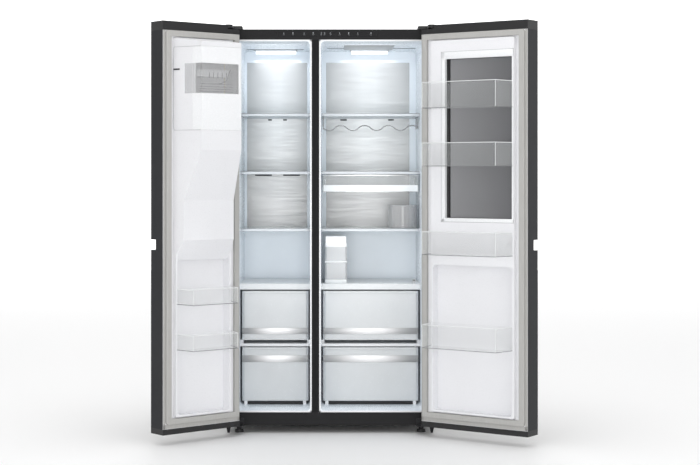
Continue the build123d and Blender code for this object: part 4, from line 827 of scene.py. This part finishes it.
class FRIDGE_OT_mouth_lips(Operator):
    """The bright white lip round each compartment's mouth, and a painted shadow outside it: a thin
    dark strip
    """
    bl_idname = "fridge.mouth_lips"
    bl_label = "Mouth Lips"

    def execute(self, context):
        look = finish_set(context)
        for room in ("freezer", "fridge"):
            low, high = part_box(room + "_liner")
            wide, line, back = 0.0065, 0.0022, low.y + 0.0002
            lip_out, shadow_out = low.y - 0.00045, low.y - 0.0003
            edges = [
                bar("lip", (a, lip_out, c), (b, back, d), 0.0005) for a, b, c, d in (
                    (low.x, low.x + wide, low.z, high.z), (high.x - wide, high.x, low.z, high.z),
                    (low.x, high.x, low.z, low.z + wide), (low.x, high.x, high.z - wide, high.z),
                )
            ]
            fit_out(joined(room + "_mouth_lip", edges), look["lip"], "cabinet")
            # Painted shadow: thin dark strips just outside the lip.
            left, right = low.x - line, high.x + line
            shadow_strips = [
                bar("gap", (a, shadow_out, c), (b, back, d), 0.0002, 1) for a, b, c, d in (
                    (left, low.x, low.z, high.z), (high.x, right, low.z, high.z),
                    (left, right, high.z, high.z + line), (left, right, low.z - line, low.z),
                )
            ]
            piece = joined(room + "_mouth_painted_shadow", shadow_strips)
            fit_out(piece, look["dark_and_painted_shadow"], "cabinet")
        return {"FINISHED"}


class FRIDGE_OT_shelf_fronts(Operator):
    """A bright strip with a painted highlight on each shelf's front bar, and rubber stops near its
    corners
    """
    bl_idname = "fridge.shelf_fronts"
    bl_label = "Shelf Fronts"

    def execute(self, context):
        look = finish_set(context)
        low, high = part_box("shelf_trims")
        strips, stops = [], []
        for left, right in ((low.x, FREEZER_RIGHT), (FRIDGE_LEFT, high.x)):
            for top in SHELF_TOPS:
                strips.append(bar(
                    "strip", (left + 0.003, low.y - 0.0010, top - 0.0024),
                    (right - 0.003, low.y + 0.0002, top - 0.0004), 0.0005,
                ))
                for x in (left + 0.014, right - 0.020):
                    stops.append(bar(
                        "stop", (x, low.y + 0.001, top - 0.0002),
                        (x + 0.006, low.y + 0.008, top + 0.0016), 0.0006,
                    ))
        # Painted highlight: the strips are brightest towards the middle of the fridge.
        metal = satin_metal_painted_highlight("shelf_strip_painted_highlight", (0.20, 0.21, 0.22), (0.36, 0.37, 0.38), 0.0, 0.5)
        fit_out(joined("shelf_strips", strips), metal, "cabinet")
        fit_out(joined("shelf_stops", stops), look["pale_grey"], "cabinet")
        return {"FINISHED"}


class FRIDGE_OT_utility_trim(Operator):
    """A frosted lower band and a rim bead on the utility box"""
    bl_idname = "fridge.utility_trim"
    bl_label = "Utility Box Trim"

    def execute(self, context):
        look = finish_set(context)
        low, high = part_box("utility_box")
        band = bar(
            "utility_box_band", (low.x + 0.004, low.y - 0.0010, low.z + 0.003),
            (high.x - 0.004, low.y + 0.0002, low.z + 0.031), 0.0005,
        )
        fit_out(band, look["frosted"], "utility")
        out, back = low.y - 0.0012, low.y + 0.0010
        rim = [
            bar(
                "rim", (low.x, out, high.z - 0.004), (high.x, back, high.z + 0.0004), 0.0008
            ),
            bar(
                "rim", (low.x + 0.002, out, low.z), (high.x - 0.002, back, low.z + 0.0025), 0.0006
            ),
        ]
        fit_out(joined("utility_box_rim", rim), look["trim"], "utility")
        return {"FINISHED"}


class FRIDGE_OT_clear_bin_trim(Operator):
    """The dark rim and the white end strip of the half round bin"""
    bl_idname = "fridge.clear_bin_trim"
    bl_label = "Clear Bin Trim"

    def execute(self, context):
        look = finish_set(context)
        low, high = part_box("clear_bin")
        middle, reach = (low.x + high.x) / 2, (high.x - low.x) / 2
        points = []
        for i in range(13):
            angle = pi * i / 12
            points.append((
                middle - (reach - 0.001) * cos(angle),
                low.y + 0.0635 - 0.0625 * sin(angle), high.z - 0.0015,
            ))
        rim = wire("clear_bin_rim", points, 0.0013)
        fit_out(rim, look["pale_grey"], "cabinet")
        strip = bar(
            "clear_bin_strip", (low.x + 0.0005, low.y + 0.060, low.z + 0.002),
            (low.x + 0.006, low.y + 0.066, high.z - 0.003), 0.001,
        )
        fit_out(strip, look["lip"], "cabinet")
        return {"FINISHED"}


class FRIDGE_OT_tank_trim(Operator):
    """The seam band, foot and filler cap of the water tank"""
    bl_idname = "fridge.tank_trim"
    bl_label = "Water Tank Trim"

    def execute(self, context):
        look = finish_set(context)
        low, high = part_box("water_tank")
        seam = bar(
            "tank_seam", (low.x - 0.0006, low.y - 0.0012, low.z + 0.092),
            (high.x + 0.0006, low.y + 0.0006, low.z + 0.099), 0.0005,
        )
        fit_out(seam, look["tray_white"], "tank")
        foot = bar(
            "tank_foot", (low.x + 0.002, low.y - 0.0010, low.z + 0.001),
            (high.x - 0.002, low.y + 0.0010, low.z + 0.016), 0.0006,
        )
        fit_out(foot, look["frosted"], "tank")
        lid_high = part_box("tank_lid")[1]
        centre = ((low.x + high.x) / 2, (low.y + high.y) / 2 + 0.03, lid_high.z - 0.0015)
        cap = turned("tank_filler_cap", centre, (0, 0, 1), [
            (0.0, 0.019), (0.0008, 0.0192), (0.0013, 0.0180),
            (0.0013, 0.0150), (0.0009, 0.0145), (0.0009, 0.0040),
        ], 48)
        fit_out(cap, look["tray_white"], "tank")
        return {"FINISHED"}


class FRIDGE_OT_slider_marks(Operator):
    """Two dark square windows in the humidity slider"""
    bl_idname = "fridge.slider_marks"
    bl_label = "Slider Marks"

    def execute(self, context):
        look = finish_set(context)
        low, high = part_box("humidity_slider")
        squares = [
            bar(
                "square", (x, low.y - 0.0005, high.z - 0.0075),
                (x + 0.004, low.y + 0.0002, high.z - 0.0030), 0.0002, 1,
            )
            for x in (low.x + 0.0015, low.x + 0.0075)
        ]
        fit_out(joined("slider_windows", squares), look["dark_and_painted_shadow"], "slider")
        return {"FINISHED"}


class FRIDGE_OT_gasket_beads(Operator):
    """The two sealing beads of each door gasket, and the grey flange outside it"""
    bl_idname = "fridge.gasket_beads"
    bl_label = "Gasket Beads"

    def execute(self, context):
        look, size = finish_set(context), context.scene.fridge_sizes
        bead_top, gasket_bottom, gasket_top, gasket_edge = 0.01372, 0.087, 1.7193, 0.0195
        inner, outer, low, high = 0.0012, 0.0119, 0.0690, 1.7218
        for side, width in DOOR_WIDTH.items():
            name = SIDE_NAME[side]
            beads = []
            for inset in (0.0225, 0.0285):
                a, b = inset, width - inset
                bottom, top = gasket_bottom + inset - gasket_edge, gasket_top - inset + gasket_edge
                corners = [(a, bottom), (b, bottom), (b, top), (a, top)]
                points = [on_door(side, u, bead_top - size.gasket_bead, z) for u, z in corners]
                beads.append(wire("bead", points, size.gasket_bead, cyclic=True, smooth=False))
            flange = door_bars(name + "_rim_flange", side, (0.0001, 0.0008), 0.0003, 1, (
                (inner, outer, low, high), (width - outer, width - inner, low, high),
                (inner, width - inner, low, low + 0.0179),
                (inner, width - inner, high - 0.0024, high),
            ))
            fit_door(flange, side, look["gasket"])
            fit_door(joined(name + "_gasket_beads", beads), side, look["gasket"])
        return {"FINISHED"}


class FRIDGE_OT_window_trim(Operator):
    """The window's black band, its white surround and the thin lines round them"""
    bl_idname = "fridge.window_trim"
    bl_label = "Window Trim"

    def execute(self, context):
        look = finish_set(context)
        glass_out = 0.0001
        pieces = (
            ("window_band", glass_out, 0.0006, 0.0002, 1, "gloss_black", "black_gloss", (
                (0.1272, 0.1450, 0.9395, 1.6105),
            )),
            ("window_surround", 0.0150, 0.00135, 0.0003, 2, "lip", "white_liner", (
                (0.1095, 0.1235, 0.9235, 1.6405), (0.4505, 0.4550, 0.9235, 1.6405),
                (0.1095, 0.4550, 0.9235, 0.9355), (0.1095, 0.4550, 1.6145, 1.6405),
            )),
            ("window_shadow_line", 0.0150, 0.0012, 0.0001, 1, "pale_grey", "white_liner", (
                (0.1078, 0.1096, 0.9218, 1.6422), (0.4549, 0.4562, 0.9218, 1.6422),
                (0.1078, 0.4562, 0.9218, 0.9236), (0.1078, 0.4562, 1.6404, 1.6422),
            )),
            ("window_outline", glass_out, 0.0012, 0.0003, 1, "dark_and_painted_shadow", "black_plastic", (
                (0.1272, 0.1288, 0.9395, 1.6105), (0.4452, 0.4468, 0.9395, 1.6105),
                (0.1272, 0.4468, 0.9392, 0.9408), (0.1272, 0.4468, 1.6092, 1.6108),
            )),
        )
        for name, out, thick, edge, segments, finish, slot, spans in pieces:
            piece = door_bars(name, RIGHT, (out, out + thick), edge, segments, spans)
            fit_door(piece, RIGHT, look[finish])
        return {"FINISHED"}


def bulge_slope(part, proud, z):
    """A point on the ice room's slanted side: part 0 at the door, 1 at its front corner."""
    base, front = Vector((0.344, 0.0)), Vector((0.298, 0.140))
    normal = Vector((0.140, 0.046)).normalized()
    place = base.lerp(front, part) + normal * proud
    return on_door(LEFT, place.x, place.y, z)


def slanted_plate(name, start, end, low, high, thick):
    """A thin plate that lies on the ice room's slanted side."""
    a, b = bulge_slope(start, 0.0001, low), bulge_slope(end, 0.0001, low)
    outward = bulge_slope(start, 0.0001 + thick, low) - a
    clear()
    bpy.ops.mesh.primitive_cube_add(size=1.0)
    piece = bpy.context.object
    along = b - a
    tall = high - low
    middle = (a + b + outward) / 2 + Vector((0, 0, tall / 2))
    piece.data.transform(Matrix.Translation(middle) @ Matrix((
        (along.x, outward.x, 0, 0), (along.y, outward.y, 0, 0), (0, 0, tall, 0), (0, 0, 0, 1),
    )))
    pick(piece)
    bpy.ops.object.mode_set(mode="EDIT")
    bpy.ops.mesh.select_all(action="SELECT")
    bpy.ops.mesh.normals_make_consistent(inside=False)
    bpy.ops.object.mode_set(mode="OBJECT")
    round_edges(piece, 0.0003, 1)
    return settle(piece, name)


class FRIDGE_OT_ice_room(Operator):
    """The ice room's window panes, ribs, fins, lever and latch, and the line round its cover"""
    bl_idname = "fridge.ice_room"
    bl_label = "Ice Room Fittings"

    def execute(self, context):
        look = finish_set(context)
        window, skin = (1.4585, 1.5815), 0.0009
        dark, smoke, cover = look["dark_and_painted_shadow"], look["smoke"], "ice_cover"
        ribs = door_bars("ice_cover_ribs", LEFT, (0.1105, 0.1130), 0.0003, 1, [
            (0.118, 0.288, z, z + 0.0016) for z in (1.466, 1.476, 1.486, 1.497)
        ])
        fit_door(ribs, LEFT, dark, cover)
        lever = [on_door(LEFT, along, 0.0915, z) for along, z in (
            (0.225, 1.500), (0.165, 1.499), (0.150, 1.512),
            (0.138, 1.508), (0.128, 1.536), (0.116, 1.560),
        )]
        fit_door(wire("ice_lever", lever, 0.0019), LEFT, dark)
        fins = door_bars("ice_guard_fins", LEFT, (0.1105, 0.1135), 0.0005, 1, [
            (along, along + 0.0022, 1.524, 1.546) for along in (0.150, 0.172, 0.194, 0.216, 0.238)
        ])
        fit_door(fins, LEFT, dark, cover)
        pane = door_bar(
            "ice_window_pane", LEFT, (0.1115, 0.2975), (0.1372, 0.1386), window, 0.0004, 1
        )
        fit_door(pane, LEFT, smoke, cover)
        pane = slanted_plate("ice_side_pane", 0.42, 0.684, *window, skin)
        fit_door(pane, LEFT, smoke)
        pane = slanted_plate("ice_cover_side_pane", 0.689, 0.985, *window, skin)
        fit_door(pane, LEFT, smoke, cover)
        outline = [bulge_slope(part, 0.0006, z) for part, z in (
            (0.97, 1.6515), (0.04, 1.6515), (0.015, 1.640),
            (0.015, 1.324), (0.05, 1.3065), (0.97, 1.3065),
        )]
        line = wire("ice_cover_line", outline, 0.0009, smooth=False)
        fit_door(line, LEFT, look["pale_grey"])
        latch = slanted_plate("ice_cover_latch", 0.03, 0.24, 1.5560, 1.5620, 0.0016)
        fit_door(latch, LEFT, dark)
        return {"FINISHED"}


class FRIDGE_OT_basket_rims(Operator):
    """A painted highlight along the rim and a painted shade line along the base of every door
    basket
    """
    bl_idname = "fridge.basket_rims"
    bl_label = "Basket Rims"

    def execute(self, context):
        look = finish_set(context)
        for side, plan, levels in BASKETS:
            rims, bases = [], []
            for bottom, top in levels:
                # Rims: painted highlight along the top edge; bases: painted shade along the bottom
                # edge.
                edges = ((top - 0.0012, 0.0015, rims), (bottom + 0.0013, 0.0014, bases))
                for z, radius, group in edges:
                    points = [on_door(side, along, out, z) for along, out in plan]
                    group.append(wire("edge", points, radius, smooth=False))
                for along, out in plan[1:3]:
                    points = [on_door(side, along, out, z) for z in (bottom + 0.002, top - 0.002)]
                    rims.append(wire("edge", points, 0.0012, smooth=False))
            name = SIDE_NAME[side]
            for part, group in (("rims", rims), ("bases", bases)):
                piece = joined(f"{name}_basket_{part}", group)
                fit_door(piece, side, look["basket_" + part])
        return {"FINISHED"}


# Each door's baskets: the plan of the front edge, along and out, and their heights.
BASKETS = (
    (RIGHT, ((0.0595, 0.0185), (0.0825, 0.1284), (0.4325, 0.1284), (0.4505, 0.0185)),
     ((0.396, 0.495), (0.786, 0.884), (1.157, 1.256), (1.400, 1.510))),
    (LEFT, ((0.0595, 0.0185), (0.0945, 0.1148), (0.3205, 0.1148), (0.3345, 0.0185)),
     ((0.394, 0.460), (0.583, 0.649))),
)


class FRIDGE_OT_dispenser(Operator):
    """The round keys, ice chute, water nozzle and drip grille of the dispenser"""
    bl_idname = "fridge.dispenser"
    bl_label = "Dispenser Fittings"

    def execute(self, context):
        look = finish_set(context)
        keys = []
        for along in (0.125, 0.158, 0.193, 0.228, 0.261):
            keys.append(turned("key", on_door(LEFT, along, -0.0923, 1.292), (0, -1, 0), [
                (0, 0.0065), (0.0003, 0.0066), (0.0005, 0.0062),
                (0.0005, 0.0052), (0.0003, 0.0051), (0.0003, 0.001),
            ]))
            across = (along - 0.005, along + 0.005)
            keys.append(door_bar(
                "dash", LEFT, across, (-0.0926, -0.0922), (1.2745, 1.2755), 0.0001, 1
            ))
        fit_door(joined("dispenser_keys", keys), LEFT, look["icons"])
        chute = turned("ice_chute", on_door(LEFT, 0.193, -0.045, 1.2345), (0, 0, -1), [
            (0, 0.030), (0.012, 0.028), (0.030, 0.022), (0.034, 0.0215),
            (0.034, 0.0185), (0.012, 0.0182), (0.0115, 0.001),
        ], 48)
        fit_door(chute, LEFT, look["black"])
        nozzle = turned("water_nozzle", on_door(LEFT, 0.193, -0.079, 1.2345), (0, 0, -1), [
            (0, 0.0060), (0.014, 0.0058), (0.018, 0.0042), (0.026, 0.0040),
            (0.026, 0.0028), (0.018, 0.0026), (0.018, 0.0005),
        ])
        fit_door(nozzle, LEFT, look["chrome"])
        starts = [0.112 + 0.009 * i for i in range(18)]
        grille = door_bars("drip_grille", LEFT, (-0.076, -0.012), 0.0004, 1, [
            (along, along + 0.003, 0.918, 0.9192) for along in starts
        ])
        fit_door(grille, LEFT, look["pale_grey"])
        return {"FINISHED"}


class FRIDGE_OT_back_screws(Operator):
    """The screws along the top of the machine compartment's cover"""
    bl_idname = "fridge.back_screws"
    bl_label = "Back Cover Fittings"

    def execute(self, context):
        look, size = finish_set(context), context.scene.fridge_sizes
        low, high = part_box("machine_cover")
        r = size.screw_radius
        heads = []
        for i in range(5):
            x = low.x + 0.03 + (high.x - low.x - 0.06) * i / 4
            heads.append(turned(
                "screw", (x, high.y, high.z - 0.010), (0, 1, 0),
                [(-0.0006, r), (0.0000, r), (-0.0001, r * 0.99), (-0.0001, r * 0.5)], 20,
            ))
        fit_out(joined("cover_screws", heads), look["zinc"], "cabinet")
        return {"FINISHED"}


class FRIDGE_OT_stage(Operator):
    """The pale floor and backdrop, the soft studio lights and the camera"""
    bl_idname = "fridge.stage"
    bl_label = "Stage, Lights and Camera"

    def execute(self, context):
        clear()
        bpy.ops.mesh.primitive_plane_add(size=1.0, location=(0, 1.6, -0.0002))
        floor = bpy.context.object
        floor.scale = (30.0, 22.0, 1.0)
        settle(floor, "studio_floor")
        floor.data.materials.append(start_finish("studio_floor", (0.93, 0.93, 0.93), 0.6)[0])
        upright = (radians(90.0), 0, 0)
        bpy.ops.mesh.primitive_plane_add(size=1.0, location=(0, 12.0, 6.0), rotation=upright)
        backdrop = bpy.context.object
        backdrop.scale = (40.0, 16.0, 1.0)
        settle(backdrop, "studio_backdrop")
        paper, _, shader = start_finish("studio_backdrop", (0.95, 0.95, 0.95), 0.8)
        shader.inputs["Emission Color"].default_value = (1.0, 1.0, 1.0, 1.0)
        shader.inputs["Emission Strength"].default_value = 1.0
        backdrop.data.materials.append(paper)
        context.scene.view_settings.view_transform = "Standard"
        world = bpy.data.worlds.new("studio")
        context.scene.world = world
        world.use_nodes = True
        background = world.node_tree.nodes["Background"]
        background.inputs["Color"].default_value = (1.0, 1.0, 1.0, 1.0)
        background.inputs["Strength"].default_value = 0.62
        lamp("key", (-2.6, -5.2, 3.4), (0, 0.2, 0.9), 36.0, 3.0)
        lamp("fill", (3.2, -5.0, 2.4), (0, 0.2, 0.9), 32.0, 3.0)
        lamp("top", (0.0, -0.6, 4.2), (0, 0.0, 0.9), 40.0, 2.5)
        lamp("front", (0.0, -6.4, 0.8), (0, 0.3, 0.75), 100.0, 1.8)
        for name, x, wide in (("freezer_glow", -0.243, 0.16), ("fridge_glow", 0.179, 0.20)):
            lamp(name, (x, 0.40, 1.665), (x, 0.28, 0.6), 0.22, wide * 1.3)
        for name, x, wide in (("freezer_fill", -0.243, 0.26), ("fridge_fill", 0.179, 0.38)):
            glow = lamp(name, (x, 0.03, 1.17), (x, 0.50, 1.17), 0.46 * wide / 0.26, wide)
            glow.data.shape = "RECTANGLE"
            glow.data.size_y = 1.0
        camera = bpy.data.cameras.new("camera")
        camera.lens = 83.72
        camera.sensor_width = 36.0
        camera.shift_x = 0.0283
        camera.shift_y = -0.0831
        camera.clip_end = 100.0
        view = bpy.data.objects.new("camera", camera)
        view.location = (0.0, -7.0709, 1.1235)
        view.rotation_euler = upright
        context.scene.collection.objects.link(view)
        context.scene.camera = view
        return {"FINISHED"}


def lamp(name, place, aim, power, size):
    """A square soft light at a place, aimed at another."""
    light = bpy.data.lights.new(name, "AREA")
    light.energy = power
    light.shape = "SQUARE"
    light.size = size
    thing = bpy.data.objects.new(name, light)
    thing.location = place
    thing.rotation_euler = (Vector(aim) - Vector(place)).to_track_quat("-Z", "Y").to_euler()
    bpy.context.scene.collection.objects.link(thing)
    return thing


# ------------------------------------------------------------------ panel and registration

STEPS = (
    FRIDGE_OT_finish_cabinet, FRIDGE_OT_finish_moving, FRIDGE_OT_finish_doors,
    FRIDGE_OT_finish_machine, FRIDGE_OT_drawer_bands, FRIDGE_OT_drawer_gap_shadows,
    FRIDGE_OT_control_icons, FRIDGE_OT_air_vent_shadows, FRIDGE_OT_lamp_covers, FRIDGE_OT_mouth_lips,
    FRIDGE_OT_shelf_fronts, FRIDGE_OT_utility_trim, FRIDGE_OT_clear_bin_trim,
    FRIDGE_OT_tank_trim, FRIDGE_OT_slider_marks, FRIDGE_OT_gasket_beads, FRIDGE_OT_window_trim,
    FRIDGE_OT_ice_room, FRIDGE_OT_basket_rims, FRIDGE_OT_dispenser, FRIDGE_OT_back_screws,
    FRIDGE_OT_stage,
)


class FRIDGE_PT_sidebar(Panel):
    """Sizes, colours and steps of the refrigerator"""
    bl_idname = "FRIDGE_PT_sidebar"
    bl_label = "Refrigerator"
    bl_space_type = "VIEW_3D"
    bl_region_type = "UI"
    bl_category = "Refrigerator"

    def draw(self, context):
        for group in (context.scene.fridge_sizes, context.scene.fridge_colours):
            box = self.layout.box()
            for name in group.bl_rna.properties.keys():
                if name not in ("rna_type", "name"):
                    box.prop(group, name)
        for step in STEPS:
            self.layout.operator(step.bl_idname)


CLASSES = (FridgeSizes, FridgeColours, *STEPS, FRIDGE_PT_sidebar)


def register():
    for cls in CLASSES:
        bpy.utils.register_class(cls)
    bpy.types.Scene.fridge_sizes = PointerProperty(type=FridgeSizes)
    bpy.types.Scene.fridge_colours = PointerProperty(type=FridgeColours)


def unregister():
    del bpy.types.Scene.fridge_colours
    del bpy.types.Scene.fridge_sizes
    for cls in reversed(CLASSES):
        bpy.utils.unregister_class(cls)


def main():
    register()
    for step in STEPS:
        group, name = step.bl_idname.split(".")
        getattr(getattr(bpy.ops, group), name)()


if __name__ == "__main__":
    main()
